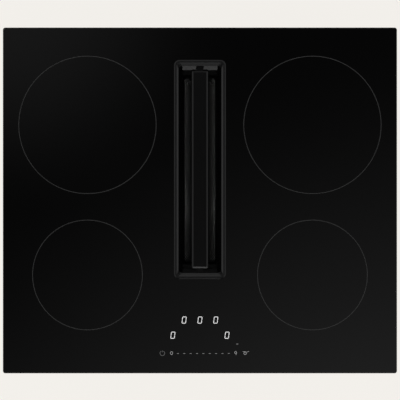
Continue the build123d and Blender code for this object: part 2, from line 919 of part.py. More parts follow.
def make_terminal_box():
    """Open-topped box under the tray floor, with a bossed entry for the supply cable."""
    center = (terminal_box_center_x, terminal_box_center_y)
    low = tray_bottom_z - terminal_box_height
    size = (terminal_box_width, terminal_box_depth, 0)
    shell = plate(*size, low, tray_bottom_z, center)
    back_y = terminal_box_center_y + terminal_box_depth / 2
    mid_z = tray_bottom_z - terminal_box_height / 2
    inside = Plane(origin=(terminal_box_center_x, back_y - terminal_box_wall, mid_z), z_dir=(0, 1, 0))
    reach = terminal_box_wall + cable_boss_length
    shell += extrude(inside * Circle(cable_boss_radius), reach)
    shell -= plate(*grown(size, -terminal_box_wall), low + terminal_box_wall, tray_bottom_z, center)
    return shell - extrude(inside * Circle(cable_bore_radius), reach)


def make_terminal_block():
    low = tray_bottom_z - terminal_box_height + terminal_box_wall
    high = low + terminal_block_height
    center = (terminal_box_center_x, terminal_box_center_y)
    body = plate(terminal_block_width, terminal_block_depth, 0, low, high, center)
    first = terminal_box_center_x - (terminal_bore_count - 1) * terminal_bore_pitch / 2
    for place in range(terminal_bore_count):
        bore_center = (first + place * terminal_bore_pitch, terminal_box_center_y)
        bore_low = low + terminal_bore_floor
        body -= plate(terminal_bore_size, terminal_bore_size, 0, bore_low, high, bore_center)
    return body


# Touch control


def make_control_carrier():
    """Shallow case that presses the display board up against the glass, with four posts for it."""
    low = glass_bottom_z - control_height
    floor_z = low + control_wall
    body = plate(*control_size, low, glass_bottom_z, control_center)
    body -= plate(*grown(control_size, -control_wall), floor_z, glass_bottom_z, control_center)
    for x, y in corner_points(control_center, control_width, control_depth, control_post_inset):
        body += prism(control_post_radius, pillar_sides, floor_z, control_board_z - board_thickness, x, y)
    return body


def make_control_board():
    size = grown(control_size, -control_wall - control_board_clearance)
    return plate(*size, control_board_z - board_thickness, control_board_z, control_center)


def display_centers():
    upper_y = control_center_y + upper_display_offset_y
    lower_y = control_center_y + lower_display_offset_y
    upper = [(place * upper_display_pitch, upper_y) for place in (-1, 0, 1)]
    return upper + [(-lower_display_x, lower_y), (lower_display_x, lower_y)]


def make_displays():
    size = (display_width, display_depth, 0)
    return group([plate(*size, control_board_z, glass_bottom_z, center) for center in display_centers()])


def make_touch_pads():
    """Conductive foam blocks between the board and the glass, one under every key."""
    pads = []
    for place in range(touch_row_count):
        center = (touch_row_start_x + place * touch_row_pitch, control_center_y + touch_row_offset_y)
        pads.append(plate(touch_pad_size, touch_pad_size, 0, control_board_z, glass_bottom_z, center))
    return group(pads)


# Air box, sump and fan


air_box_center = ((air_box_left + air_box_right) / 2, vent_center_y)
air_box_size = (air_box_right - air_box_left, air_box_length, air_box_corner_radius)
sump_size = (sump_width, sump_length, 0)
impeller_center = (impeller_center_x, impeller_center_y)
inlet_hole_radius = inlet_radius + inlet_lip_radius + inlet_hole_clearance


def make_air_box_lid():
    """Upper shell of the plenum, with a lip round the lower shell and the socket for the inlet duct."""
    ceiling_z = tray_bottom_z - air_box_wall
    size = grown(air_box_size, air_box_lip_gap + air_box_wall)
    lid = plate(*size, ceiling_z, tray_bottom_z, air_box_center)
    lid += frame_ring(*size, air_box_wall, tray_bottom_z - air_box_lip_height, ceiling_z, air_box_center)
    duct_hole = grown((neck_width, neck_length, 0), duct_wall + duct_socket_clearance)
    return lid - plate(*duct_hole, ceiling_z, tray_bottom_z, vent_center)


def make_air_box_base():
    """Lower shell of the plenum that leads the air from the filter across to the fan."""
    low = air_box_floor_z
    high = tray_bottom_z - air_box_wall
    floor_z = low + air_box_wall
    body = plate(*air_box_size, low, high, air_box_center)
    body -= plate(*grown(air_box_size, -air_box_wall), floor_z, high, air_box_center)
    body -= plate(*grown(sump_size, -air_box_wall), low, floor_z, vent_center)
    return body - post(inlet_hole_radius, low, floor_z, *impeller_center)


def make_sump():
    body = plate(*sump_size, base_z, air_box_floor_z, vent_center)
    flange_z = air_box_floor_z - air_box_wall
    body += plate(*grown(sump_size, sump_flange), flange_z, air_box_floor_z, vent_center)
    inner = grown(sump_size, -air_box_wall)
    return body - plate(*inner, base_z + air_box_wall, air_box_floor_z, vent_center)


def volute_outline():
    """Spiral of three arcs with stepped centres, run out into a straight outlet."""
    step = volute_growth / 2
    first = (impeller_center_x - step, impeller_center_y - step)
    second = (impeller_center_x + step, impeller_center_y - step)
    third = (impeller_center_x + step, impeller_center_y + step)
    second_radius = volute_first_radius + volute_growth
    third_radius = second_radius + volute_growth
    exit_y = impeller_center_y + outlet_run
    start = CenterArc(first, volute_first_radius, tongue_angle, 180 - tongue_angle)
    middle = CenterArc(second, second_radius, 180, 90)
    last = CenterArc(third, third_radius, 270, 90)
    outer_wall = Line(last @ 1, (third[0] + third_radius, exit_y))
    mouth = Line(outer_wall @ 1, ((start @ 0).X, exit_y))
    tongue = Line(mouth @ 1, start @ 0)
    return make_face([start, middle, last, outer_wall, mouth, tongue])


def outlet_channel():
    """Left and right side of the straight outlet, inside its walls."""
    step = volute_growth / 2
    left = impeller_center_x - step + volute_first_radius * cos(radians(tongue_angle))
    right = impeller_center_x + step + volute_first_radius + 2 * volute_growth
    return left, right


def volute_plan(reach):
    """Spiral grown outwards all round, and cut off square at its outlet."""
    exit_y = impeller_center_y + outlet_run
    outer = offset(volute_outline(), reach)
    return outer & Pos(impeller_center_x, exit_y - glass_depth / 2, 0) * Rectangle(glass_depth, glass_depth)


def make_volute():
    """Floor and spiral wall of the fan housing."""
    high = air_box_floor_z - volute_wall
    casing = extrude(Pos(0, 0, base_z) * volute_plan(volute_wall), high - base_z)
    floor_z = base_z + volute_wall
    return casing - extrude(Pos(0, 0, floor_z) * volute_outline(), high - floor_z)


def lip_points(x, z, radius):
    """Quarter turn of the bell mouth's profile in short straight steps, from its top to its throat."""
    angles = [radians(step * 90 / inlet_lip_steps) for step in range(inlet_lip_steps + 1)]
    return [(x - radius * sin(angle), z + radius * cos(angle)) for angle in angles]


def make_volute_cover():
    """Cover of the spiral housing, with the bell mouth that leads the air into the impeller's eye."""
    low = air_box_floor_z - volute_wall
    cover = extrude(Pos(0, 0, low) * volute_plan(volute_wall + volute_cover_overhang), volute_wall)
    cover -= post(inlet_radius + inlet_lip_radius, low, air_box_floor_z, *impeller_center)
    lip_x = inlet_radius + inlet_lip_radius
    lip_z = air_box_floor_z - inlet_lip_radius
    throat_z = lip_z - inlet_throat_length
    upper = lip_points(lip_x, lip_z, inlet_lip_radius)
    lower = lip_points(lip_x, lip_z, inlet_lip_radius - volute_wall)
    throat = [(inlet_radius, throat_z), (inlet_radius + volute_wall, throat_z)]
    section = Plane.XZ * Polygon(*upper, *throat, *reversed(lower), align=None)
    return cover + Pos(*impeller_center, 0) * revolve(section, Axis.Z)


def outlet_form(inset):
    """Flat-sided diffuser and the rounded spigot behind it, with every side moved inwards."""
    left, right = outlet_channel()
    start_y = impeller_center_y + outlet_run
    flare_y = spigot_end_y - spigot_length
    reach = spigot_width / 2 - inset
    plan = [
        (left - volute_wall + inset, start_y),
        (right + volute_wall - inset, start_y),
        (spigot_center_x + reach, flare_y),
        (spigot_center_x - reach, flare_y),
    ]
    elevation = [
        (start_y, base_z + inset),
        (flare_y, base_z + inset),
        (flare_y, base_z + spigot_height - inset),
        (start_y, air_box_floor_z - inset),
    ]
    flare = extrude(Pos(0, 0, base_z) * Polygon(*plan, align=None), air_box_floor_z - base_z)
    flare &= extrude(Plane.YZ * Polygon(*elevation, align=None), glass_width, both=True)
    size = grown((spigot_width, spigot_height, spigot_corner_radius), -inset)
    spigot_end = (spigot_center_x, spigot_end_y, base_z + spigot_height / 2)
    end = Plane(origin=spigot_end, x_dir=(1, 0, 0), z_dir=(0, -1, 0)) * outline(*size)
    return flare + extrude(end, spigot_length)


def make_outlet_duct():
    """Diffuser that widens from the spiral housing's outlet to a flat duct spigot."""
    return outlet_form(0) - outlet_form(volute_wall)


def impeller_blade():
    """Forward-curved blade in plan, bent in its middle between the inner and the outer circle."""
    inner = impeller_radius - impeller_blade_depth
    sweep = radians(impeller_blade_sweep)
    start = Vector(inner, 0)
    end = Vector(impeller_radius * cos(sweep), impeller_radius * sin(sweep))
    chord = end - start
    side = Vector(chord.Y, -chord.X).normalized()
    middle = (start + end) / 2 + side * impeller_blade_bow
    half = side * (impeller_blade_thickness / 2)
    corners = [start + half, middle + half, end + half, end - half, middle - half, start - half]
    return Polygon(*[(corner.X, corner.Y) for corner in corners], align=None)


def make_impeller_hub():
    """Back plate with a cup over the motor and a boss on its shaft."""
    low = base_z + volute_wall + impeller_bottom_gap
    cup_top = low + hub_cup_height
    body = post(impeller_radius + impeller_blade_thickness, low, low + impeller_plate)
    body += post(hub_cup_radius, low, cup_top)
    body += prism(hub_boss_radius, hub_boss_sides, cup_top, cup_top + hub_boss_height)
    body -= post(hub_cup_radius - impeller_plate, low, cup_top - impeller_plate)
    body -= axle_socket(shaft_radius, low, cup_top + hub_boss_height)
    return Pos(*impeller_center, 0) * body


def make_impeller_blades():
    """Cage of forward-curved blades that stands on the back plate, tied by a ring at its top."""
    low = base_z + volute_wall + impeller_bottom_gap + impeller_plate
    high = low + impeller_height - impeller_plate
    inner = impeller_radius - impeller_blade_depth
    ring = (impeller_radius + impeller_blade_thickness, inner - impeller_blade_thickness)
    cage = tube(*ring, high - impeller_plate, high)
    blade = extrude(Pos(0, 0, low) * impeller_blade(), high - low)
    cage += [Rot(0, 0, place * 360 / impeller_blade_count) * blade for place in range(impeller_blade_count)]
    return Pos(*impeller_center, 0) * cage


def make_motor():
    """Round shell on a square mounting plate, with the shaft that carries the impeller."""
    low = base_z + volute_wall + impeller_bottom_gap
    flange_low = low - motor_gap - motor_flange_thickness
    top = low + hub_cup_height - impeller_plate - motor_gap
    body = plate(motor_flange_size, motor_flange_size, 0, flange_low, flange_low + motor_flange_thickness)
    body += post(motor_radius, flange_low, top)
    body += prism(shaft_radius, axle_sides, top, low + hub_cup_height + hub_boss_height + motor_gap)
    return Pos(*impeller_center, 0) * body


def make_motor_mounts():
    """Rubber blocks under the corners of the motor's mounting plate."""
    low = base_z + volute_wall
    high = low + impeller_bottom_gap - motor_gap - motor_flange_thickness
    places = corner_points(impeller_center, motor_flange_size, motor_flange_size, motor_mount_inset)
    return group([plate(motor_mount_size, motor_mount_size, 0, low, high, place) for place in places])


# Worktop clamps


def clamp_places():
    return [(side, end * clamp_y) for side in sides.values() for end in (-1, 1)]


def make_clamps():
    """Angle brackets on the sides of the tray, each with a foot that holds a screw."""
    clamps = []
    foot_z = tray_bottom_z + clamp_sheet
    leg_z = tray_bottom_z + clamp_leg_height
    for side, y in clamp_places():
        wall_x = side * tray_width / 2
        y_range = (y - clamp_width / 2, y + clamp_width / 2)
        foot_x = sorted((wall_x, side * (clamp_screw_x + clamp_screw_inset)))
        leg_x = sorted((wall_x, wall_x + side * clamp_sheet))
        clamp = block(foot_x, y_range, (tray_bottom_z, foot_z)) + block(leg_x, y_range, (foot_z, leg_z))
        screw_x = side * clamp_screw_x
        clamps.append(clamp - prism(clamp_screw_radius, screw_sides, tray_bottom_z, foot_z, screw_x, y))
    return group(clamps)


def make_clamp_screws():
    """Screws that press a pad up against the underside of the worktop."""
    screws = []
    high = tray_bottom_z + clamp_screw_length
    for side, y in clamp_places():
        place = (side * clamp_screw_x, y)
        shank = prism(clamp_screw_radius, screw_sides, tray_bottom_z, high, *place)
        pad = prism(clamp_pad_radius, screw_sides, high, high + clamp_pad_height, *place)
        head = prism(clamp_pad_radius, screw_sides, tray_bottom_z - clamp_pad_height, tray_bottom_z, *place)
        screws.append(shank + pad + head)
    return group(screws)


def build_nodes():
    """Every separate piece or group of like pieces, by its name."""
    nodes = {
        "glass_top": make_glass(),
        "worktop_seal": make_worktop_seal(),
        "frame_gasket": make_frame_gasket(),
        "vent_frame": make_vent_frame(),
        "inlet_bar": make_inlet_bar(),
        "inlet_duct": make_inlet_duct(),
        "filter_frame": make_filter_frame(),
        "filter_mesh": make_filter_mesh(),
        "overflow_tray": make_overflow_tray(),
        "hob_tray": make_hob_tray(),
        "glass_bond": make_glass_bond(),
        "temperature_sensors": make_sensors(),
        "coil_springs": make_coil_springs(),
        "tray_pillars": make_tray_pillars(),
        "mains_board": make_mains_board(),
        "mains_filter": make_mains_filter(),
        "terminal_box": make_terminal_box(),
        "terminal_block": make_terminal_block(),
        "control_carrier": make_control_carrier(),
        "control_board": make_control_board(),
        "displays": make_displays(),
        "touch_pads": make_touch_pads(),
        "air_box_lid": make_air_box_lid(),
        "air_box_base": make_air_box_base(),
        "sump": make_sump(),
        "volute": make_volute(),
        "volute_cover": make_volute_cover(),
        "outlet_duct": make_outlet_duct(),
        "impeller_hub": make_impeller_hub(),
        "impeller_blades": make_impeller_blades(),
        "motor": make_motor(),
        "motor_mounts": make_motor_mounts(),
        "clamps": make_clamps(),
        "clamp_screws": make_clamp_screws(),
    }
    for name, (x, y, radius) in zones.items():
        nodes[f"winding_{name}"] = make_winding(x, y, radius)
        nodes[f"carrier_{name}"] = make_carrier(x, y, radius)
        nodes[f"ferrites_{name}"] = make_ferrites(x, y, radius)
    for name, side in sides.items():
        nodes[f"insulation_{name}"] = make_insulation(side)
        nodes[f"coil_plate_{name}"] = make_coil_plate(side)
        nodes[f"power_board_{name}"] = make_power_board(side)
        nodes[f"heat_sink_{name}"] = make_heat_sink(side)
        nodes[f"power_parts_{name}"] = make_power_parts(side)
        nodes[f"cooling_fan_{name}"] = make_cooling_fan_frame(side)
        nodes[f"cooling_rotor_{name}"] = make_cooling_rotor(side)
    return nodes


os.makedirs("parts", exist_ok=True)
for node_name, node_shape in build_nodes().items():
    export_step(node_shape, f"parts/{node_name}.step")
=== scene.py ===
import math

import bmesh
import bpy
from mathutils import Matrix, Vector


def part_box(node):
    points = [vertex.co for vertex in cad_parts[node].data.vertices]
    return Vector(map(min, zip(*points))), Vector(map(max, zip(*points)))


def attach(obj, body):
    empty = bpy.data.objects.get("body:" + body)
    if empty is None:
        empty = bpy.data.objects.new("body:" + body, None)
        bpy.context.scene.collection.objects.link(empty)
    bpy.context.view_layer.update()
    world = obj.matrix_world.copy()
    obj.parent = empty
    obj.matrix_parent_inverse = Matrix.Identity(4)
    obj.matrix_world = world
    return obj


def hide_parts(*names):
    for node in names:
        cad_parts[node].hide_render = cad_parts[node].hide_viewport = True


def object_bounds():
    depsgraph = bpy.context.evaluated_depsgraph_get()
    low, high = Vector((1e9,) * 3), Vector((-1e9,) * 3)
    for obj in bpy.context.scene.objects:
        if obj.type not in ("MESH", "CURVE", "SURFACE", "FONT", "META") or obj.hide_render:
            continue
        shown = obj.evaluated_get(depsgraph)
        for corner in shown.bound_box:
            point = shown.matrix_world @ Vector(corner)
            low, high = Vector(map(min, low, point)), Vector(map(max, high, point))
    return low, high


bl_info = {
    "name": "Downdraft induction cooktop",
    "version": (1, 0, 0),
    "blender": (4, 5, 0),
    "location": "3D View > Sidebar > Cooktop",
    "description": "Finishes, printed marks, displays, fasteners and stage of a downdraft cooktop",
    "category": "Object",
}

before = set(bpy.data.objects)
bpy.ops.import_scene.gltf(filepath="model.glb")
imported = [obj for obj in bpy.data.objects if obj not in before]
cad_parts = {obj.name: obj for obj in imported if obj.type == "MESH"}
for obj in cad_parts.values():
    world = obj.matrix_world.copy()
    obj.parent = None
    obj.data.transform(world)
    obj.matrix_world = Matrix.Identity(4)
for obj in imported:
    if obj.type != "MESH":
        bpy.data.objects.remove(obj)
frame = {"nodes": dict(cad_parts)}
cad_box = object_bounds()

ZONES = ("rear_left", "rear_right", "front_left", "front_right")
SIDES = ("left", "right")
LOW_HOUSINGS = ("sump", "volute", "outlet_duct")


def middle(node):
    """Centre of a CAD node's box."""
    low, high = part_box(node)
    return (low + high) / 2


GLASS_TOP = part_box("glass_top")[1].z
CONTROL = middle("control_board")
STEEL_TONE = (0.62, 0.60, 0.52)


# Settings


def maker(kind, **usual):
    """Function that makes a property from its name, description and default."""

    def make(name, description, default, **own):
        return kind(name=name, description=description, default=default, **{**usual, **own})

    return make


length = maker(bpy.props.FloatProperty, min=0.0, unit="LENGTH", precision=5)
factor = maker(bpy.props.FloatProperty, min=0.0, max=1.0, subtype="FACTOR")
tilt = maker(bpy.props.FloatProperty, subtype="ANGLE")
focal = maker(bpy.props.FloatProperty, min=1.0, unit="CAMERA")
colour = maker(bpy.props.FloatVectorProperty, min=0.0, max=1.0, size=3, subtype="COLOR")


class GlassSettings(bpy.types.PropertyGroup):
    glass: colour("Glass", "Glass with its black underside print", (0.0006, 0.0006, 0.00062))
    gloss: factor("Roughness", "Roughness of the polished glass", 0.035)
    ring: colour("Zone ring", "Colour of the printed zone rings", (0.031, 0.031, 0.031))
    ring_width: length("Ring width", "Width of a printed zone ring", 0.0009)
    rear_diameter: length("Rear zone", "Diameter of the two rear zone rings", 0.2)
    front_diameter: length("Front zone", "Diameter of the two front zone rings", 0.16)
    print_height: length("Print height", "Height of the prints above the glass", 0.00002)


class DisplaySettings(bpy.types.PropertyGroup):
    lit: colour("Lit", "Colour of the lit marks", (1.0, 1.0, 1.0))
    digit_glow: factor("Digit glow", "Brightness of the five digits", 1.0, max=4.0)
    mark_glow: factor("Mark glow", "Brightness of the slider numbers and the pan", 0.45, max=4.0)
    dash_glow: factor("Dash glow", "Brightness of the slider dashes", 0.26, max=4.0)
    dim_glow: factor("Dim glow", "Brightness of the power sign and the lamp dot", 0.10, max=4.0)
    digit_width: length("Digit width", "Width of a digit", 0.0062)
    digit_height: length("Digit height", "Height of a digit", 0.0100)
    stroke: length("Stroke", "Width of a digit's strokes", 0.0009)
    gap: length("Gap", "Gap between two strokes of a digit", 0.0001)
    slant: tilt("Slant", "Lean of the digits", math.radians(7))
    upper_pitch: length("Upper pitch", "Spacing of the three upper digits", 0.0229)
    upper_offset: length("Upper offset", "Upper digits behind the control's middle", 0.022)
    lower_x: length("Lower digit place", "Lower digits beside the control's middle", 0.0392)
    row_offset: length("Row offset", "Touch row in front of the control's middle", 0.0262)


class VentSettings(bpy.types.PropertyGroup):
    frame: colour("Frame", "Powder coat of the extraction frame", (0.0016, 0.0016, 0.0017))
    # painted highlight: a lighter tone of the same coat on the flange's flat top, standing in for
    # light falling on it
    painted_top_highlight: colour("Frame painted highlight", "The same coat on the flange's flat top", (0.0075, 0.0075, 0.0077))
    bar: colour("Bar", "Coat of the lift-out bar", (0.0009, 0.0009, 0.001))
    overflow: colour("Deep plastic", "Overflow tray and inlet duct", (0.003, 0.003, 0.0031))
    mesh: colour("Filter mesh", "Metal of the filter's expanded mesh", (0.46, 0.46, 0.45))
    # painted shade: a near-black tone of the mesh metal next to the bar and at both ends of the filter
    mesh_painted_shade: colour("Filter mesh painted shade", "The same metal under the bar", (0.004, 0.004, 0.004))
    # painted shade: the rim's steel is made near black, standing in for the shade deep in the vent
    rim: colour("Filter rim", "Metal of the filter's rim", (0.004, 0.004, 0.0039))
    mesh_pitch: length("Mesh pitch", "Length of one diamond of the filter mesh", 0.0044)
    mesh_wire: length("Mesh strand", "Width of a strand of the filter mesh", 0.0006)


class BodySettings(bpy.types.PropertyGroup):
    sheet: colour("Sheet metal", "Galvanised sheet of the tray and clamps", (0.52, 0.53, 0.54))
    housing: colour("Housing", "Moulded plastic of the air path", (0.022, 0.022, 0.024))
    board: colour("Circuit board", "Solder mask of the boards", (0.012, 0.10, 0.035))
    copper: colour("Copper", "Enamelled copper of the coils", (0.62, 0.25, 0.12))
    screw_diameter: length("Screw head", "Diameter of the sheet metal screw heads", 0.0075)


class StageSettings(bpy.types.PropertyGroup):
    backdrop: colour("Backdrop", "Colour of the floor behind the object", (0.887, 0.863, 0.823))
    camera_height: length("Camera height", "Camera above the glass", 4.83)
    lens: focal("Lens", "Focal length of the camera", 300.0)
    zenith: factor("Zenith", "Light straight from above, which the glass mirrors", 0.02)
    surround: factor("Surround", "Soft light from all round", 1.0, max=2.0)


# Shader building


def binary(operation, reflected=False):
    """Operator of Value that adds a Math node."""

    def method(self, other):
        return self.math(operation, *((other, self) if reflected else (self, other)))

    return method


class Value:
    """A shader socket that can be used in Python expressions."""

    def __init__(self, tree, socket):
        self.tree = tree
        self.socket = socket

    def math(self, operation, *values):
        return self.tree.add("Math", dict(enumerate(values)), {"operation": operation})

    __add__ = __radd__ = binary("ADD")
    __mul__ = __rmul__ = binary("MULTIPLY")
    __sub__ = binary("SUBTRACT")
    __rsub__ = binary("SUBTRACT", reflected=True)
    __truediv__ = binary("DIVIDE")
    __pow__ = binary("POWER")

    def sine(self):
        return self.math("SINE", self)

    def size(self):
        return self.math("ABSOLUTE", self)

    def smooth(self, low, high):
        """Rises softly from 0 at low to 1 at high."""
        sockets = {"Value": self, "From Min": low, "From Max": high}
        return self.tree.add("MapRange", sockets, {"interpolation_type": "SMOOTHSTEP"})


class Tree:
    """Node tree with one method that adds any node."""

    def __init__(self, node_tree):
        self.nodes = node_tree.nodes
        self.links = node_tree.links
        self.nodes.clear()

    def add(self, kind, sockets=None, settings=None, output=0):
        """Adds a shader node, makes its settings, then fills its sockets with values or links."""
        node = self.nodes.new(f"ShaderNode{kind}")
        for name, value in (settings or {}).items():
            setattr(node, name, value)
        for name, value in (sockets or {}).items():
            self.feed(node.inputs[name], value)
        return Value(self, node.outputs[output]) if len(node.outputs) else node

    def feed(self, socket, value):
        if isinstance(value, Value):
            self.links.new(value.socket, socket)
        elif socket.type == "RGBA" and len(value) == 3:
            socket.default_value = (*value, 1.0)
        else:
            socket.default_value = value

    def mix(self, amount, first, second):
        return self.add("Mix", {0: amount, 6: first, 7: second}, {"data_type": "RGBA"}, 2)

    def place(self, stretch=(1.0, 1.0, 1.0), shift=(0.0, 0.0, 0.0)):
        """The piece's own coordinates in metres, stretched and shifted."""
        point = self.add("TexCoord", output="Object")
        moved = self.add("VectorMath", {0: point, 1: shift}, {"operation": "SUBTRACT"})
        return self.add("VectorMath", {0: moved, 1: stretch}, {"operation": "MULTIPLY"})

    def noise(self, per_metre, detail=2.0, stretch=(1.0, 1.0, 1.0)):
        sockets = {"Vector": self.place(stretch), "Scale": per_metre, "Detail": detail}
        return self.add("TexNoise", sockets)

    def cells(self, per_metre, output="Distance", randomness=1.0, distance="EUCLIDEAN"):
        sockets = {"Vector": self.place(), "Scale": per_metre, "Randomness": randomness}
        return self.add("TexVoronoi", sockets, {"distance": distance}, output)

    def part(self, vector, axis):
        """The X, Y or Z part of a vector."""
        return self.add("SeparateXYZ", {"Vector": vector}, output=axis)


def new_material(name):
    material = bpy.data.materials.new(name)
    material.use_nodes = True
    return material


class Finish(Tree):
    """Procedural material around a Principled shader."""

    def __init__(self, name, **constants):
        self.material = new_material(name)
        super().__init__(self.material.node_tree)
        shown = self.add("BsdfPrincipled")
        self.add("OutputMaterial", {"Surface": shown})
        self.shader = shown.socket.node
        for socket, value in constants.items():
            self.give(socket.replace("_", " "), value)

    def give(self, socket, value):
        self.feed(self.shader.inputs[socket], value)

    def vary(self, mask, first, second):
        """Base colour that runs from one colour to another with a mask."""
        self.give("Base Color", self.mix(mask, first, second))

    def tint(self, mask, tone, dark, light):
        """Base colour that runs from a darker to a lighter shade of a tone."""
        self.vary(mask, shade(tone, dark), shade(tone, light))

    def made(self, roughness, height=None, depth=0.0, strength=1.0):
        """The material, once it has a roughness and any bump, whose full height is depth metres."""
        self.give("Roughness", roughness)
        if height:
            sockets = {"Height": height, "Distance": depth, "Strength": strength}
            self.give("Normal", self.add("Bump", sockets, output="Normal"))
        return self.material


def grey(level):
    return (level, level, level)


def shade(tone, amount):
    """A colour made lighter or darker by a factor."""
    return tuple(min(1.0, channel * amount) for channel in tone)


# Finishes of the seen side


def glass_finish(tone, roughness):
    finish = Finish("black_glass", IOR=1.5)
    smear = finish.noise(9.0, 4.0)
    speck = finish.cells(240.0).smooth(0.0, 0.35)
    finish.tint(smear, tone, 0.8, 1.2)
    return finish.made(roughness * (0.7 + smear * 0.6) + (1.0 - speck) * 0.01)


def print_finish(name, tone):
    """Ceramic print on the glass, slightly broken up at its edges."""
    finish = Finish(name)
    grain = finish.noise(2600.0, 3.0)
    finish.tint(grain, tone, 0.85, 1.15)
    return finish.made(0.22 + grain * 0.12)


def powder_coat_finish(name, tone, roughness, painted_top_highlight=None, top_z=0.0):
    """Matte powder coat with an orange-peel surface, and a painted highlight: a lighter tone on its
    topmost faces.
    """
    finish = Finish(name, Specular_IOR_Level=0.25)
    peel = finish.noise(1300.0, 2.0)
    patch = finish.noise(35.0, 3.0)
    coat = finish.mix(patch, shade(tone, 0.82), shade(tone, 1.2))
    # painted highlight: faces within 0.6 mm of the top take the lighter tone
    if painted_top_highlight:
        painted_highlight_depth = 0.0006
        height = finish.part(finish.place(), "Z")
        coat = finish.mix(height.smooth(top_z - painted_highlight_depth, top_z), coat, painted_top_highlight)
    finish.give("Base Color", coat)
    return finish.made(roughness + (patch - 0.5) * 0.04 + (peel - 0.5) * 0.06, peel, 0.00002, 0.4)


def lit_finish(name, tone, glow):
    """Lit mark under the glass, with a slightly uneven glow."""
    finish = Finish(name)
    spread = finish.noise(420.0, 1.0)
    finish.vary(spread, grey(0.02), grey(0.03))
    finish.give("Emission Color", finish.mix(spread, shade(tone, 0.80), tone))
    finish.give("Emission Strength", glow)
    return finish.made(0.25)


def mesh_finish(name, tone, painted_shade_tone, centre, half_size, shaded):
    """Stretched metal with painted light and shade: paler in front, and darker towards the bar and
    towards both ends.
    """
    # where the painted paler front and the painted shade at the ends begin
    front, rear, past_end, before_end = -0.07, -0.005, -0.002, 0.005
    finish = Finish(name, Metallic=1.0)
    roll = finish.noise(900.0, 3.0, (1.0, 0.08, 1.0))
    point = finish.place(shift=centre)
    across, along = finish.part(point, "X"), finish.part(point, "Y")
    painted_shade_by_bar = (across.size() - shaded) / (half_size.x - shaded)
    painted_shade_at_ends = (half_size.y - along.size()).smooth(past_end, before_end)
    metal_and_painted_light = finish.mix(roll, shade(tone, 0.8), shade(tone, 1.2))
    # painted light: the front of the mesh takes a paler tone
    metal_and_painted_light = finish.mix(along.smooth(front, rear), shade(tone, 1.8), metal_and_painted_light)
    # painted shade: darker towards the bar and towards both ends of the filter
    finish.vary(painted_shade_by_bar * painted_shade_at_ends, painted_shade_tone, metal_and_painted_light)
    return finish.made(0.34 + roll * 0.22, roll, 0.00004, 0.5)


# Finishes of the hidden side


def moulded_finish(name, tone, roughness, grain_per_metre=1500.0, specular=0.5):
    """Injection-moulded plastic: a spark-eroded grain and faint flow marks."""
    finish = Finish(name, Specular_IOR_Level=specular)
    grain = finish.noise(grain_per_metre, 2.0)
    flow = finish.noise(14.0, 4.0, (1.0, 0.35, 1.0))
    finish.tint(flow, tone, 0.78, 1.28)
    return finish.made(roughness + (flow - 0.5) * 0.12 + (grain - 0.5) * 0.12, grain, 0.00006, 0.7)


def foam_finish(name, tone):
    """Closed-cell foam with open pores at its cut faces."""
    finish = Finish(name)
    pores = finish.cells(1100.0)
    finish.tint(pores, tone, 0.6, 1.4)
    return finish.made(0.92, pores, 0.00025, 0.8)


def rubber_finish(name, tone):
    finish = Finish(name)
    bloom = finish.noise(60.0, 5.0)
    finish.vary(bloom, tone, shade(tone, 1.8))
    return finish.made(0.62 + bloom * 0.2, finish.noise(1900.0), 0.00004, 0.6)


def galvanised_finish(name, tone):
    """Zinc coat with crystals of a few millimetres, each with its own grey."""
    finish = Finish(name, Metallic=0.92)
    crystals = finish.cells(95.0, output="Color")
    crystal = finish.add("SeparateColor", {"Color": crystals}, output="Red")
    haze = finish.noise(22.0, 5.0)
    finish.tint(crystal * 0.6 + haze * 0.4, tone, 0.74, 1.16)
    bumps = crystal + finish.noise(700.0) * 0.3
    return finish.made(0.30 + crystal * 0.16 + haze * 0.08, bumps, 0.00002, 0.4)


def rolled_finish(name, tone, stretch, roughness=0.3):
    """Metal with fine lines along its rolling or extruding direction."""
    finish = Finish(name, Metallic=1.0)
    lines = finish.noise(1400.0, 4.0, stretch)
    haze = finish.noise(18.0, 3.0)
    finish.tint(lines * 0.7 + haze * 0.3, tone, 0.8, 1.15)
    return finish.made(roughness + lines * 0.14 + haze * 0.06, lines, 0.00003, 0.5)


def cast_finish(name, tone):
    """Die-cast metal with a fine pebbled skin."""
    finish = Finish(name, Metallic=0.95)
    pebble = finish.noise(950.0, 3.0)
    stain = finish.noise(40.0, 4.0)
    finish.tint(stain, tone, 0.72, 1.1)
    return finish.made(0.40 + pebble * 0.16, pebble, 0.00010, 0.6)


def plated_finish(name, tone):
    """Zinc-plated steel with a faint yellow cast."""
    finish = Finish(name, Metallic=1.0)
    tint = finish.noise(180.0, 3.0)
    finish.vary(tint, tone, (tone[0], tone[1] * 0.92, tone[2] * 0.72))
    return finish.made(0.24 + tint * 0.14)


def speckled_finish(name, tone, speck, roughness):
    """Matte mineral surface with small specks, for ceramic and ferrite."""
    finish = Finish(name)
    specks = finish.cells(900.0).smooth(0.10, 0.45)
    cloud = finish.noise(120.0, 3.0)
    finish.vary(specks, speck, tone)
    return finish.made(roughness + cloud * 0.12, cloud + specks * 0.5, 0.00006, 0.6)


def mica_finish(name, tone):
    """Pressed mica sheet: overlapping flakes and long pale fibres."""
    finish = Finish(name)
    flakes = finish.cells(260.0)
    fibres = finish.noise(700.0, 4.0, (0.15, 1.0, 1.0))
    finish.tint(flakes * 0.5 + fibres * 0.5, tone, 0.62, 1.25)
    return finish.made(0.45 + flakes * 0.3, flakes, 0.00008, 0.6)


def board_finish(name, tone):
    """Solder mask over copper tracks, with rows of tinned pads."""
    finish = Finish(name)
    tracks = finish.cells(130.0, randomness=0.6, distance="CHEBYCHEV")
    track = (tracks * 21.0).sine().smooth(-0.2, 0.2)
    pads = 1.0 - finish.cells(196.0, randomness=0.0).smooth(0.16, 0.20)
    mask = finish.mix(track, shade(tone, 0.75), shade(tone, 1.5))
    finish.give("Base Color", finish.mix(pads, mask, (0.55, 0.53, 0.46)))
    finish.give("Metallic", pads * 0.9)
    return finish.made(0.38 - pads * 0.1, track * 0.5 + pads, 0.00005, 0.5)


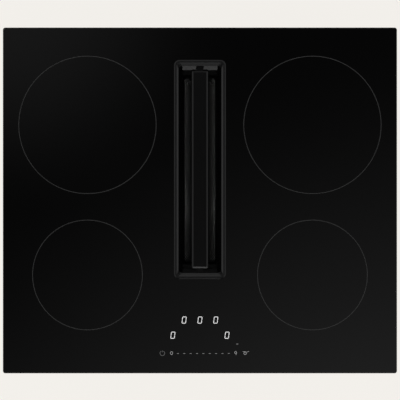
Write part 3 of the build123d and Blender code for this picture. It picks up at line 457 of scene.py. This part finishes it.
def winding_finish(name, tone, centre):
    """Turns of twisted wire round a centre: grooves between turns and slanting strands in each."""
    turn_width, strand_width, usual_radius = 0.0042, 0.0011, 0.06
    finish = Finish(name, Metallic=0.85)
    point = finish.place(shift=centre)
    x, y = finish.part(point, "X"), finish.part(point, "Y")
    radius = (x * x + y * y) ** 0.5
    angle = y.math("ARCTAN2", y, x)
    turn = (radius * (2 * math.pi / turn_width)).sine()
    along = angle * (usual_radius * 2 * math.pi / strand_width)
    strand = (along + radius * (2 * math.pi / strand_width)).sine()
    finish.tint(turn * 0.35 + strand * 0.25 + 0.5, tone, 0.45, 1.2)
    return finish.made(0.34 - strand * 0.06, turn * 0.6 + strand * 0.25, 0.0006, 0.8)


# Mesh building


def linked(name, data):
    """New object in the scene."""
    made = bpy.data.objects.new(name, data)
    bpy.context.scene.collection.objects.link(made)
    return made


def new_object(name, bm, material):
    """Turns a bmesh into an object of one material."""
    mesh = bpy.data.meshes.new(name)
    bm.to_mesh(mesh)
    bm.free()
    mesh.materials.append(material)
    return linked(name, mesh)


def new_piece(name, bm, material, body="chassis"):
    """Turns a bmesh into a piece that rides on a body."""
    piece = new_object(name, bm, material)
    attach(piece, body)
    return piece


def each(places, *names):
    """Names of nodes that come once for each zone or side."""
    return [f"{name}_{place}" for name in names for place in places]


def dress(material, *nodes):
    """Gives CAD nodes one material, with no change to their meshes."""
    for node in nodes:
        mesh = frame["nodes"][node].data
        mesh.materials.clear()
        mesh.materials.append(material)


def flat_face(bm, outline, z):
    """Flat face at a height from an outline in plan."""
    bm.faces.new([bm.verts.new((x, y, z)) for x, y in outline])


def spaced(first, last, steps):
    """Places at even steps from the first to the last."""
    return [first + (last - first) * step / steps for step in range(steps + 1)]


def arc_points(centre, radius, start, end, steps):
    turns = [(math.cos(angle), math.sin(angle)) for angle in spaced(start, end, steps)]
    return [(centre[0] + radius * x, centre[1] + radius * y) for x, y in turns]


def arc_band(bm, centre, radius, width, z, start=0.0, end=2 * math.pi, steps=160, stretch=1.0):
    """Flat curved band, drawn as quads; stretch widens it along Y."""
    outer = arc_points(centre, radius + width / 2, start, end, steps)
    inner = arc_points(centre, radius - width / 2, start, end, steps)
    for step in range(steps):
        corners = [outer[step], outer[step + 1], inner[step + 1], inner[step]]
        flat_face(bm, [(x, centre[1] + (y - centre[1]) * stretch) for x, y in corners], z)


def stroke_band(bm, start, end, width, z, pointed=False):
    """Flat straight stroke with square ends, or with blunt points as a display segment has."""
    first, last = Vector(start), Vector(end)
    along = (last - first).normalized() * (width / 2)
    across = Vector((-along.y, along.x))
    outline = [first + across, first - across, last - across, last + across]
    if pointed:
        inner_first, inner_last = first + along, last - along
        outline = [first, inner_first + across, inner_last + across]
        outline += [last, inner_last - across, inner_first - across]
    flat_face(bm, outline, z)


def draw_zero(bm, centre, settings, z):
    """Seven-segment 0: the six outer strokes, leaning to the right."""
    half_width = (settings.digit_width - settings.stroke) / 2
    half_height = (settings.digit_height - settings.stroke) / 2
    lean = math.tan(settings.slant)

    def corner(x_end, y_end):
        y = y_end * half_height
        return Vector((centre[0] + x_end * half_width + y * lean, centre[1] + y))

    path = [corner(-1, -1), corner(-1, 0), corner(-1, 1), corner(1, 1), corner(1, 0), corner(1, -1)]
    for start, end in zip(path, path[1:] + path[:1]):
        trim = (end - start).normalized() * settings.gap
        stroke_band(bm, start + trim, end - trim, settings.stroke, z, pointed=True)


def screw_head(bm, place, diameter):
    """Washer-faced pan head that looks down, in rings that end in a cross recess."""
    # how far out a ring reaches, how wide the arms of its cross are, and how far down it lies
    rings = ((1.25, 1.25, 0.0), (1.25, 1.25, 0.12), (0.98, 0.98, 0.16), (0.94, 0.94, 0.42))
    rings += ((0.72, 0.72, 0.62), (0.52, 0.13, 0.68), (0.34, 0.09, 0.30))
    radius, sides, least = diameter / 2, 32, 1e-6
    loops = []
    for reach, arm, drop in rings:
        loop = []
        for step in range(sides):
            angle = 2 * math.pi * step / sides
            off_axis = abs((angle + math.pi / 4) % (math.pi / 2) - math.pi / 4)
            out = radius * min(reach, arm / max(math.sin(off_axis), least))
            offset = (out * math.cos(angle), out * math.sin(angle), -radius * drop)
            loop.append(bm.verts.new(Vector(place) + Vector(offset)))
        loops.append(loop)
    for high, low in zip(loops, loops[1:]):
        for step in range(sides):
            following = (step + 1) % sides
            bm.faces.new([high[step], high[following], low[following], low[step]])
    bm.faces.new(loops[-1])


def inset_corners(node, inset):
    """The four points set in from the corners of a node's box, in plan."""
    low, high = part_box(node)
    return [(x, y) for x in (low.x + inset, high.x - inset) for y in (low.y + inset, high.y - inset)]


def inside(node, x, y, margin=0.0):
    """Whether a place in plan lies in a node's box."""
    low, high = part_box(node)
    return low.x - margin < x < high.x + margin and low.y - margin < y < high.y + margin


def sweep(bm, outline, foot, across, along, span):
    """Closed prism: an upright outline, as steps across and heights, swept over a span along."""
    first, last = [
        [bm.verts.new(foot + across * step + along * place + Vector((0, 0, z))) for step, z in outline]
        for place in span
    ]
    for start in range(len(first)):
        following = (start + 1) % len(first)
        bm.faces.new([first[start], first[following], last[following], last[start]])
    bm.faces.new(first)
    bm.faces.new(last)
    bmesh.ops.recalc_face_normals(bm, faces=bm.faces)


def apply_modifiers(piece):
    shown = piece.evaluated_get(bpy.context.evaluated_depsgraph_get())
    mesh = bpy.data.meshes.new_from_object(shown)
    piece.modifiers.clear()
    piece.data = mesh


# Operators: the seen side


class COOKTOP_OT_glass(bpy.types.Operator):
    """Finish the glass and print the four zone rings on it"""

    bl_idname = "cooktop.glass"
    bl_label = "Glass and zone rings"

    def execute(self, context):
        settings = context.scene.cooktop_glass
        dress(glass_finish(settings.glass, settings.gloss), "glass_top")
        ink = print_finish("zone_print", settings.ring)
        for zone in ZONES:
            diameter = settings.rear_diameter if zone.startswith("rear") else settings.front_diameter
            centre = middle(f"winding_{zone}")
            bm = bmesh.new()
            radius = (diameter - settings.ring_width) / 2
            arc_band(bm, centre[:2], radius, settings.ring_width, GLASS_TOP + settings.print_height)
            new_piece(f"zone_ring_{zone}", bm, ink)
        return {"FINISHED"}


class COOKTOP_OT_digits(bpy.types.Operator):
    """Light the five power level digits under the glass"""

    bl_idname = "cooktop.digits"
    bl_label = "Digits"

    def execute(self, context):
        settings = context.scene.cooktop_display
        z = GLASS_TOP + context.scene.cooktop_glass.print_height
        upper_y = CONTROL.y + settings.upper_offset
        centres = [(place * settings.upper_pitch, upper_y) for place in (-1, 0, 1)]
        centres += [(-settings.lower_x, CONTROL.y), (settings.lower_x, CONTROL.y)]
        light = lit_finish("digit_light", settings.lit, settings.digit_glow)
        for number, centre in enumerate(centres):
            bm = bmesh.new()
            draw_zero(bm, centre, settings, z)
            new_piece(f"digit_{number}", bm, light)
        return {"FINISHED"}


class COOKTOP_OT_touch_row(bpy.types.Operator):
    """Light the power sign, the slider, the pan sign and the lamp dot"""

    bl_idname = "cooktop.touch_row"
    bl_label = "Touch row"

    power_x: length("Power sign", "Power sign left of the middle", 0.0545)
    slider_start: length("Slider start", "Slider's 0 left of the middle", 0.0412)
    slider_end: length("Slider end", "Slider's 9 right of the middle", 0.0517)
    pan_x: length("Pan sign", "Pan sign right of the middle", 0.067)
    power_radius: length("Power radius", "Radius of the power sign", 0.0034)
    power_stroke: length("Power stroke", "Stroke of the power sign", 0.0007)
    power_opening: tilt("Power opening", "Half the gap in the power sign's ring", math.radians(28))
    lamp_x: length("Lamp dot", "Lamp dot right of the middle", 0.0541)
    lamp_rise: length("Lamp rise", "Lamp dot behind the touch row", 0.0134)
    lamp_width: length("Lamp width", "Width of the lamp dot", 0.0028)
    lamp_height: length("Lamp height", "Height of the lamp dot", 0.0017)
    dash_length: length("Dash length", "Length of a slider dash", 0.0028)
    dash_stroke: length("Dash stroke", "Stroke of a slider dash", 0.0006)
    mark_stroke: length("Mark stroke", "Stroke of the slider numbers and the pan sign", 0.00045)

    def execute(self, context):
        settings = context.scene.cooktop_display
        z = GLASS_TOP + context.scene.cooktop_glass.print_height
        y = CONTROL.y - settings.row_offset
        self.draw_dim(settings, y, z)
        self.draw_dashes(settings, y, z)
        self.draw_numbers(settings, y, z)
        return {"FINISHED"}

    def draw_dim(self, settings, y, z):
        """Power sign and lamp dot."""
        light = lit_finish("dim_light", settings.lit, settings.dim_glow)
        x, radius, stroke = -self.power_x, self.power_radius, self.power_stroke
        bar_foot, bar_top, arc_steps = 0.45, 1.15, 40
        start = math.pi / 2 + self.power_opening
        end = start + 2 * (math.pi - self.power_opening)
        bm = bmesh.new()
        arc_band(bm, (x, y), radius, stroke, z, start, end, arc_steps)
        stroke_band(bm, (x, y + radius * bar_foot), (x, y + radius * bar_top), stroke, z)
        new_piece("power_sign", bm, light)
        bm = bmesh.new()
        left, right = self.lamp_x - self.lamp_width / 2, self.lamp_x + self.lamp_width / 2
        lamp_y = y + self.lamp_rise
        stroke_band(bm, (left, lamp_y), (right, lamp_y), self.lamp_height, z)
        new_piece("lamp_dot", bm, light)

    def draw_dashes(self, settings, y, z):
        light = lit_finish("dash_light", settings.lit, settings.dash_glow)
        first, last, dash_count, sink = -0.0319, 0.0418, 9, 0.0003
        half = self.dash_length / 2
        bm = bmesh.new()
        for x in spaced(first, last, dash_count - 1):
            stroke_band(bm, (x - half, y - sink), (x + half, y - sink), self.dash_stroke, z)
        new_piece("slider_dashes", bm, light)

    def draw_numbers(self, settings, y, z):
        """The 0 and the 9 at the slider's ends, and the pan sign."""
        light = lit_finish("mark_light", settings.lit, settings.mark_glow)
        stroke = self.mark_stroke
        zero_radius, zero_rise, zero_stretch, zero_steps = 0.0017, 0.0003, 1.25, 36
        zero = (-self.slider_start, y + zero_rise)
        bm = bmesh.new()
        arc_band(bm, zero, zero_radius, stroke, z, steps=zero_steps, stretch=zero_stretch)
        new_piece("slider_zero", bm, light)
        bowl_radius, bowl_rise, bowl_steps, tail_lean, tail_drop = 0.0015, 0.0011, 32, 0.0012, 0.0024
        bowl = (self.slider_end, y + bowl_rise)
        tail_x = bowl[0] + bowl_radius
        bm = bmesh.new()
        arc_band(bm, bowl, bowl_radius, stroke, z, steps=bowl_steps)
        stroke_band(bm, (tail_x, bowl[1]), (tail_x - tail_lean, y - tail_drop), stroke, z)
        new_piece("slider_nine", bm, light)
        pan_radius, pan_steps, pan_left, pan_drop = 0.0018, 32, 0.0016, 0.0001
        pan = Vector((self.pan_x - pan_left, y - pan_drop))
        lid, handle = ((-0.0034, 0.0024), (0.0010, 0.0024)), ((0.0013, 0.0013), (0.0054, 0.0030))
        bm = bmesh.new()
        arc_band(bm, pan, pan_radius, stroke, z, steps=pan_steps)
        for start, end in (lid, handle):
            stroke_band(bm, pan + Vector(start), pan + Vector(end), stroke, z)
        new_piece("pan_sign", bm, light)


class COOKTOP_OT_vent(bpy.types.Operator):
    """Finish the extraction frame, the lift-out bar, the overflow tray and the inlet duct"""

    bl_idname = "cooktop.vent"
    bl_label = "Extraction frame and bar"

    def execute(self, context):
        settings = context.scene.cooktop_vent
        top_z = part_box("vent_frame")[1].z
        # the frame's coat carries a painted highlight on its flat top
        coat = powder_coat_finish("vent_coat", settings.frame, 0.22, settings.painted_top_highlight, top_z)
        dress(coat, "vent_frame")
        dress(powder_coat_finish("bar_coat", settings.bar, 0.22), "inlet_bar")
        overflow = moulded_finish("overflow_plastic", settings.overflow, 0.3, 700.0, 0.25)
        dress(overflow, "overflow_tray", "inlet_duct")
        return {"FINISHED"}


class COOKTOP_OT_end_slopes(bpy.types.Operator):
    """Lay the shallow slopes at both ends of the funnel, on either side of the bar's lug pocket"""

    bl_idname = "cooktop.end_slopes"
    bl_label = "Funnel end slopes"

    end_width: length("End width", "Width of the flange at each end of the frame", 0.00875)
    side_width: length("Side width", "Width of the flange at each side of the frame", 0.00635)
    inset: length("Inset", "Plan width of the funnel's walls", 0.0058)
    rim_depth: length("Rim depth", "Depth of the funnel's mouth below the frame's top", 0.001)
    funnel_depth: length("Funnel depth", "Depth of the funnel below the frame's top", 0.014)
    pocket_width: length("Pocket width", "Width of the pocket of the bar's lug", 0.011)
    slope: tilt("Slope", "Slope of the ends' faces", math.radians(30))

    def execute(self, context):
        low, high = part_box("vent_frame")
        half_width = high.x - self.side_width - self.inset
        mouth = (high.y - low.y) / 2 - self.end_width
        brink = mouth - self.inset
        mouth_z = high.z - self.rim_depth
        brink_z = mouth_z - self.inset * math.tan(self.slope)
        section = [(mouth, mouth_z), (brink, brink_z), (brink, high.z - self.funnel_depth)]
        foot = Vector((0, middle("vent_frame").y, 0))
        bm = bmesh.new()
        for end in (-1, 1):
            for side in (-1, 1):
                span = (side * self.pocket_width / 2, side * half_width)
                sweep(bm, section, foot, Vector((0, end, 0)), Vector((1, 0, 0)), span)
        new_piece("funnel_end_slopes", bm, bpy.data.materials["vent_coat"])
        return {"FINISHED"}


class COOKTOP_OT_filter(bpy.types.Operator):
    """Fold an expanded metal mesh into the trough of the grease filter"""

    bl_idname = "cooktop.filter"
    bl_label = "Grease filter"

    floor_width: length("Floor width", "Width of the trough's flat floor", 0.007)
    inset: length("Inset", "Mesh inside the faces of the sheet that it takes the place of", 0.0006)

    def execute(self, context):
        settings = context.scene.cooktop_vent
        low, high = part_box("filter_mesh")
        centre, half_size = (low + high) / 2, (high - low) / 2
        bar_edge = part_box("inlet_bar")[1].x
        # the mesh metal carries painted light in front and painted shade by the bar and at the ends
        tones = (settings.mesh, settings.mesh_painted_shade)
        metal = mesh_finish("filter_metal", *tones, centre, half_size, bar_edge)
        dress(metal, "filter_mesh")
        # the rim's near-black tone is painted shade
        dress(rolled_finish("filter_rim", settings.rim, (1.0, 0.03, 1.0), 0.36), "filter_frame")
        top, floor, floor_z = half_size.x - self.inset, self.floor_width / 2, low.z + self.inset
        section = [(-top, high.z), (-floor, floor_z), (floor, floor_z), (top, high.z)]
        bm = bmesh.new()
        rows = round((high.y - low.y) / settings.mesh_pitch)
        across = self.divide(section, settings.mesh_pitch / 2)
        self.weave(bm, across, low.y, (high.y - low.y) / rows, rows)
        piece = new_piece("filter_lattice", bm, metal, "grease_filter")
        strands = piece.modifiers.new("strands", "WIREFRAME")
        strands.thickness = settings.mesh_wire
        strands.use_even_offset = False
        apply_modifiers(piece)
        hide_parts("filter_mesh")
        return {"FINISHED"}

    def divide(self, corners, step):
        """Points along the section at about equal steps, with every corner kept."""
        points = [corners[0]]
        for start, end in zip(corners, corners[1:]):
            first, last = Vector(start), Vector(end)
            pieces = max(2, 2 * round((last - first).length / step / 2))
            points += [tuple(first.lerp(last, count / pieces)) for count in range(1, pieces + 1)]
        return points

    def weave(self, bm, across, first_y, pitch, rows):
        """Diamonds of one mesh opening each, two steps wide and one pitch long."""
        verts, diamond = {}, ((0, 0), (1, 1), (0, 2), (-1, 1))

        def point(column, half_row):
            key = (column, half_row)
            if key not in verts:
                x, z = across[column]
                verts[key] = bm.verts.new((x, first_y + half_row * pitch / 2, z))
            return verts[key]

        for column in range(1, len(across) - 1):
            for row in range(rows):
                start = 2 * row + column % 2
                if start + 2 <= 2 * rows:
                    bm.faces.new([point(column + x, start + y) for x, y in diamond])


# Operators: under the glass


class COOKTOP_OT_seals(bpy.types.Operator):
    """Finish the foam seal, the gasket and the silicone bond"""

    bl_idname = "cooktop.seals"
    bl_label = "Seals"

    def execute(self, context):
        dress(foam_finish("seal_foam", grey(0.018)), "worktop_seal", "touch_pads")
        dress(rubber_finish("silicone", grey(0.02)), "frame_gasket", "glass_bond")
        return {"FINISHED"}


class COOKTOP_OT_tray(bpy.types.Operator):
    """Finish the sheet metal tray, its pillars and the worktop clamps"""

    bl_idname = "cooktop.tray"
    bl_label = "Tray and clamps"

    def execute(self, context):
        sheet = galvanised_finish("zinc_sheet", context.scene.cooktop_body.sheet)
        dress(sheet, "hob_tray", "tray_pillars", "clamps")
        dress(plated_finish("screw_steel", STEEL_TONE), "clamp_screws")
        return {"FINISHED"}


class COOKTOP_OT_coils(bpy.types.Operator):
    """Finish the coils, their carriers, ferrites, springs and plates"""

    bl_idname = "cooktop.coils"
    bl_label = "Induction coils"

    def execute(self, context):
        copper = context.scene.cooktop_body.copper
        carrier = moulded_finish("carrier_plastic", (0.10, 0.10, 0.105), 0.5)
        ferrite = speckled_finish("ferrite", (0.035, 0.035, 0.037), grey(0.09), 0.55)
        for zone in ZONES:
            centre = tuple(middle(f"winding_{zone}"))
            dress(winding_finish(f"litz_copper_{zone}", copper, centre), f"winding_{zone}")
        dress(carrier, *each(ZONES, "carrier"))
        dress(ferrite, *each(ZONES, "ferrites"))
        ceramic = speckled_finish("sensor_ceramic", (0.68, 0.65, 0.60), (0.5, 0.47, 0.42), 0.5)
        dress(ceramic, "temperature_sensors")
        dress(rolled_finish("spring_steel", (0.58, 0.58, 0.57), (0.05, 1.0, 1.0), 0.2), "coil_springs")
        mica = mica_finish("mica", (0.55, 0.50, 0.42))
        plate = rolled_finish("aluminium_sheet", (0.72, 0.72, 0.73), (1.0, 0.03, 1.0), 0.28)
        dress(mica, *each(SIDES, "insulation"))
        dress(plate, *each(SIDES, "coil_plate"))
        return {"FINISHED"}


class COOKTOP_OT_electronics(bpy.types.Operator):
    """Finish the boards, heat sinks, components and the mains connection"""

    bl_idname = "cooktop.electronics"
    bl_label = "Electronics"

    def execute(self, context):
        board = board_finish("circuit_board", context.scene.cooktop_body.board)
        parts = moulded_finish("component_black", (0.045, 0.045, 0.05), 0.42, 1100.0)
        sink = rolled_finish("heat_sink_metal", (0.66, 0.66, 0.68), (1.0, 0.02, 1.0), 0.34)
        dress(board, "mains_board", "control_board", *each(SIDES, "power_board"))
        dress(parts, "mains_filter", *each(SIDES, "power_parts"))
        dress(sink, *each(SIDES, "heat_sink"))
        dress(moulded_finish("terminal_plastic", (0.05, 0.05, 0.054), 0.5), "terminal_box")
        dress(moulded_finish("terminal_white", (0.70, 0.69, 0.65), 0.45, 900.0), "terminal_block")
        dress(moulded_finish("control_case", (0.10, 0.10, 0.105), 0.5), "control_carrier")
        dress(moulded_finish("display_lens", grey(0.02), 0.15, 500.0), "displays")
        return {"FINISHED"}


class COOKTOP_OT_air_path(bpy.types.Operator):
    """Finish the ducts, housings, fans and the motor"""

    bl_idname = "cooktop.air_path"
    bl_label = "Air path and fans"

    def execute(self, context):
        housing = moulded_finish("duct_plastic", context.scene.cooktop_body.housing, 0.5)
        dress(housing, "air_box_lid", "air_box_base", *LOW_HOUSINGS, "volute_cover")
        wheel = moulded_finish("impeller_plastic", (0.05, 0.05, 0.052), 0.4)
        dress(wheel, "impeller_hub", "impeller_blades")
        fan = moulded_finish("fan_plastic", grey(0.022), 0.38)
        dress(fan, *each(SIDES, "cooling_fan", "cooling_rotor"))
        dress(cast_finish("motor_shell", (0.48, 0.48, 0.49)), "motor")
        dress(rubber_finish("rubber_mount", grey(0.018)), "motor_mounts")
        return {"FINISHED"}


class COOKTOP_OT_screws(bpy.types.Operator):
    """Set the screws under the tray, round the fans and along the housings"""

    bl_idname = "cooktop.screws"
    bl_label = "Screws"

    pillar_inset: length("Pillar inset", "Pillar screws in from the corners of a coil plate", 0.012)
    fan_inset: length("Fan inset", "Fan screws in from the corners of a fan", 0.005)
    board_inset: length("Board inset", "Board screws in from the corners of a power board", 0.007)
    housing_inset: length("Housing inset", "Screws in from the corners of a housing", 0.008)
    small_share: factor("Housing screws", "Size of a housing's screws, as a share of the others", 0.8)

    def execute(self, context):
        diameter = context.scene.cooktop_body.screw_diameter
        small_diameter = diameter * self.small_share
        metal = plated_finish("small_screws", STEEL_TONE)
        places = []
        for side in SIDES:
            places += inset_corners(f"coil_plate_{side}", self.pillar_inset)
            places += inset_corners(f"cooling_fan_{side}", self.fan_inset)
            places += inset_corners(f"power_board_{side}", self.board_inset)
        bm = bmesh.new()
        tray_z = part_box("hob_tray")[0].z
        for x, y in places:
            if not any(inside(node, x, y) for node in ("air_box_lid", "terminal_box")):
                screw_head(bm, (x, y, tray_z), diameter)
        new_piece("tray_screws", bm, metal)
        bm = bmesh.new()
        for x, y in inset_corners("terminal_box", self.housing_inset):
            screw_head(bm, (x, y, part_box("terminal_box")[0].z), small_diameter)
        self.drive(bm, "air_box_base", small_diameter)
        new_piece("housing_screws", bm, metal)
        return {"FINISHED"}

    def drive(self, bm, node, diameter):
        """Screws along the edges of a housing's floor, but for those that another piece hides."""
        low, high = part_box(node)
        inset, steps = self.housing_inset, 4
        xs = spaced(low.x + inset, high.x - inset, steps)
        ys = spaced(low.y + inset, high.y - inset, steps)
        edge = [(x, y) for x in xs for y in ys if x in (xs[0], xs[-1]) or y in (ys[0], ys[-1])]
        for x, y in edge:
            if not any(inside(other, x, y, inset) for other in LOW_HOUSINGS):
                screw_head(bm, (x, y, low.z), diameter)


class COOKTOP_OT_clips(bpy.types.Operator):
    """Hook the lid of the air box to its base with moulded clips"""

    bl_idname = "cooktop.clips"
    bl_label = "Air box clips"

    width: length("Clip width", "Width of a clip", 0.018)
    bar: length("Clip bar", "Width of the bars round a clip's window", 0.0035)
    drop: length("Clip drop", "Length of a clip below the lid's lip", 0.017)
    spread: factor("Spread", "Outer clips from the middle, as a share of the side", 0.3)

    def execute(self, context):
        lid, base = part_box("air_box_lid"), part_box("air_box_base")
        centre, size = (lid[0] + lid[1]) / 2, lid[1] - lid[0]
        bm = bmesh.new()
        for axis, other in ((0, 1), (1, 0)):
            for corner, side in enumerate((-1, 1)):
                outward = Vector((0, 0, 0))
                outward[axis] = side
                edge = lid[corner][axis]
                for share in (-self.spread, 0, self.spread):
                    top = Vector((0, 0, lid[0].z))
                    top[axis], top[other] = edge, centre[other] + share * size[other]
                    self.hook(bm, top, outward, abs(edge - base[corner][axis]))
        new_piece("air_box_clips", bm, bpy.data.materials["duct_plastic"])
        return {"FINISHED"}

    def hook(self, bm, top, outward, gap):
        """Loop that hangs from the lid's lip, and the catch on the base that it snaps over."""
        along = Vector((-outward.y, outward.x, 0))
        half, bar, foot = self.width / 2, self.bar, -self.drop
        loop, play, nose = gap * 0.55, bar * 0.15, gap * 0.1
        posts = ((-half, bar - half, 0), (half - bar, half, 0))
        for left, right, high in (*posts, (-half, half, foot + bar)):
            outline = [(left, foot), (right, foot), (right, high), (left, high)]
            sweep(bm, outline, top, along, outward, (-loop, 0))
        catch, catch_z = half - bar - play, foot + bar + play
        section = [(-gap, catch_z), (-nose, catch_z), (-gap, -bar)]
        sweep(bm, section, top, outward, along, (-catch, catch))


class COOKTOP_OT_ribs(bpy.types.Operator):
    """Stiffen the outer walls of the sump with moulded ribs that run out into them"""

    bl_idname = "cooktop.ribs"
    bl_label = "Sump ribs"

    flange: length("Sump flange", "Reach of the sump's flange past its walls", 0.006)
    depth: length("Rib depth", "Reach of a rib out of the wall", 0.0025)
    thickness: length("Rib thickness", "Thickness of a rib", 0.0016)
    margin: length("Rib margin", "Wall left plain below a rib, and twice that above it", 0.005)

    def execute(self, context):
        low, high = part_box("sump")
        wall_x, spaces, reach, half = low.x + self.flange, 8, self.depth, self.thickness / 2
        start, end = low.z + self.margin, high.z - 2 * self.margin
        outline = [(0, start), (reach, start + reach), (reach, end - reach), (0, end)]
        feet = [(wall_x, y, -1, 0) for y in spaced(low.y, high.y, spaces)[1:-1]]
        walls = ((-1, low.y + self.flange), (1, high.y - self.flange))
        feet += [(x, y, 0, side) for side, y in walls for x in (wall_x / 2, 0, -wall_x / 2)]
        bm = bmesh.new()
        for x, y, out_x, out_y in feet:
            outward, along = Vector((out_x, out_y, 0)), Vector((-out_y, out_x, 0))
            sweep(bm, outline, Vector((x, y, 0)), outward, along, (-half, half))
        new_piece("sump_ribs", bm, bpy.data.materials["duct_plastic"])
        return {"FINISHED"}


# Operator: the stage

# name, place, width, depth, power
SOFTBOXES = (
    ("front", (0.0, -2.7, 1.34), 0.75, 0.75, 8.5),
    ("high_front", (0.0, -1.3, 3.5), 1.8, 0.6, 6.4),
    ("high_rear", (0.0, 1.2, 3.5), 1.8, 0.7, 5.0),
    ("left", (-1.9, 0.3, 2.3), 2.0, 2.0, 8.5),
    ("right", (1.9, 0.3, 2.3), 2.0, 2.0, 8.5),
)


class COOKTOP_OT_stage(bpy.types.Operator):
    """Set the floor, the lights, the sky and the camera"""

    bl_idname = "cooktop.stage"
    bl_label = "Stage"

    def execute(self, context):
        settings = context.scene.cooktop_stage
        self.lay_floor(settings)
        self.hang_card()
        self.paint_world(settings)
        self.hang_lights()
        self.place_camera(settings)
        context.scene.view_settings.view_transform = "Standard"
        return {"FINISHED"}

    def sheet(self, name, paper, half, z, facing):
        """Square sheet that faces up (1) or down (-1), and the node tree of its material."""
        material = new_material(paper)
        corners = [(-half, -half), (half, -half), (half, half), (-half, half)]
        bm = bmesh.new()
        flat_face(bm, [(x, y * facing) for x, y in corners], z)
        return new_object(name, bm, material), Tree(material.node_tree)

    def lay_floor(self, settings):
        """Pale floor that shows its own colour to the camera and keeps a soft shadow."""
        half, gap, own_strength, own_share = 14.0, 0.0005, 1.04, 0.93
        floor, tree = self.sheet("floor", "floor_paper", half, cad_box[0].z - gap, 1)
        camera, glossy, through, shadow = (
            tree.add("LightPath", output=f"Is {ray} Ray")
            for ray in ("Camera", "Glossy", "Transmission", "Shadow")
        )
        seen = (camera + glossy + through).smooth(0.0, 1.0)
        paper = tree.add("BsdfDiffuse", {"Color": settings.backdrop})
        own = tree.add("Emission", {"Color": settings.backdrop, "Strength": own_strength})
        clear = tree.add("BsdfTransparent")
        under = tree.add("NewGeometry", output="Backfacing") + shadow
        lit = tree.add("MixShader", {0: seen * own_share, 1: paper, 2: own})
        shown = tree.add("MixShader", {0: under, 1: lit, 2: clear})
        tree.add("OutputMaterial", {"Surface": shown})

    def hang_card(self):
        """Dark card high above, with two faint glows that the glass mirrors."""
        half, card_z, dark = 1.1, 6.5, 0.035
        card, tree = self.sheet("gradient_card", "gradient_card", half, 0.0, -1)
        card.location.z = card_z
        card.visible_camera = False
        front_glow = self.glow(tree, centre=(1.249, -2.814, 0.0), reach=3.514, strength=1.05)
        rear_glow = self.glow(tree, centre=(-0.645, 0.684, 0.0), reach=0.762, strength=0.177)
        lamp = tree.add("Emission", {"Strength": front_glow + rear_glow + dark})
        tree.add("OutputMaterial", {"Surface": lamp})

    def glow(self, tree, centre, reach, strength):
        """Glow on the card that fades out at its reach from a centre."""
        away = tree.place(shift=centre)
        distance = tree.add("VectorMath", {0: away}, {"operation": "LENGTH"}, "Value")
        return (1.0 - distance.smooth(0.0, reach)) * strength

    def paint_world(self, settings):
        """Light from all round, dark above and in two bands; the camera sees a plain backdrop."""
        world = bpy.context.scene.world or bpy.data.worlds.new("sky")
        bpy.context.scene.world = world
        world.use_nodes = True
        tree = Tree(world.node_tree)
        direction = tree.add("TexCoord", output="Generated")
        height, ahead = tree.part(direction, "Z"), tree.part(direction, "Y")
        front_band = (1.0 - ahead.smooth(-0.85, -0.55)) * height.smooth(-0.1, 0.0)
        rear_band = ahead.smooth(0.45, 0.65) * height.smooth(0.31, 0.39)
        band_shade = 0.95
        side = (1.0 - height.smooth(0.72, 0.97)) * (1.0 - (front_band + rear_band) * band_shade)
        strength = side * (settings.surround - settings.zenith) + settings.zenith
        sky = tree.add("Background", {"Strength": strength})
        backdrop = tree.add("Background", {"Color": settings.backdrop})
        seen = tree.add("LightPath", output="Is Camera Ray")
        shown = tree.add("MixShader", {0: seen, 1: sky, 2: backdrop})
        tree.add("OutputWorld", {"Surface": shown})

    def hang_lights(self):
        """Softboxes low in front, high in front and behind, and at both sides."""
        for name, place, width, depth, power in SOFTBOXES:
            data = bpy.data.lights.new(f"{name}_softbox", "AREA")
            data.shape = "RECTANGLE"
            data.size, data.size_y, data.energy = width, depth, power
            lamp = linked(data.name, data)
            lamp.location = place
            lamp.rotation_euler = (-Vector(place)).to_track_quat("-Z", "Y").to_euler()

    def place_camera(self, settings):
        """Camera straight above, set so that the glass lies where the photograph has it."""
        image_width, glass_x, glass_y, sensor_width = 400, 199.94, 200.44, 36.0
        pixel = settings.camera_height * sensor_width / settings.lens / image_width
        data = bpy.data.cameras.new("camera")
        data.sensor_width, data.lens, data.clip_end = sensor_width, settings.lens, 50.0
        camera = linked("camera", data)
        camera.location.x = (image_width / 2 - glass_x) * pixel
        camera.location.y = (glass_y - image_width / 2) * pixel
        camera.location.z = GLASS_TOP + settings.camera_height
        bpy.context.scene.camera = camera


class COOKTOP_PT_panel(bpy.types.Panel):
    """Lists the pieces of the cooktop"""

    bl_label = "Cooktop"
    bl_idname = "COOKTOP_PT_panel"
    bl_space_type = "VIEW_3D"
    bl_region_type = "UI"
    bl_category = "Cooktop"

    def draw(self, context):
        for operator in OPERATORS:
            self.layout.operator(operator.bl_idname)


OPERATORS = (
    COOKTOP_OT_glass,
    COOKTOP_OT_digits,
    COOKTOP_OT_touch_row,
    COOKTOP_OT_vent,
    COOKTOP_OT_end_slopes,
    COOKTOP_OT_filter,
    COOKTOP_OT_seals,
    COOKTOP_OT_tray,
    COOKTOP_OT_coils,
    COOKTOP_OT_electronics,
    COOKTOP_OT_air_path,
    COOKTOP_OT_screws,
    COOKTOP_OT_clips,
    COOKTOP_OT_ribs,
    COOKTOP_OT_stage,
)
SETTINGS = {
    "cooktop_glass": GlassSettings,
    "cooktop_display": DisplaySettings,
    "cooktop_vent": VentSettings,
    "cooktop_body": BodySettings,
    "cooktop_stage": StageSettings,
}


def register():
    for group in (*SETTINGS.values(), *OPERATORS, COOKTOP_PT_panel):
        bpy.utils.register_class(group)
    for name, group in SETTINGS.items():
        setattr(bpy.types.Scene, name, bpy.props.PointerProperty(type=group))


def unregister():
    for name in SETTINGS:
        delattr(bpy.types.Scene, name)
    for group in (COOKTOP_PT_panel, *reversed(OPERATORS), *reversed(SETTINGS.values())):
        bpy.utils.unregister_class(group)


def main():
    register()
    for operator in OPERATORS:
        group, name = operator.bl_idname.split(".")
        getattr(getattr(bpy.ops, group), name)()


if __name__ == "__main__":
    main()
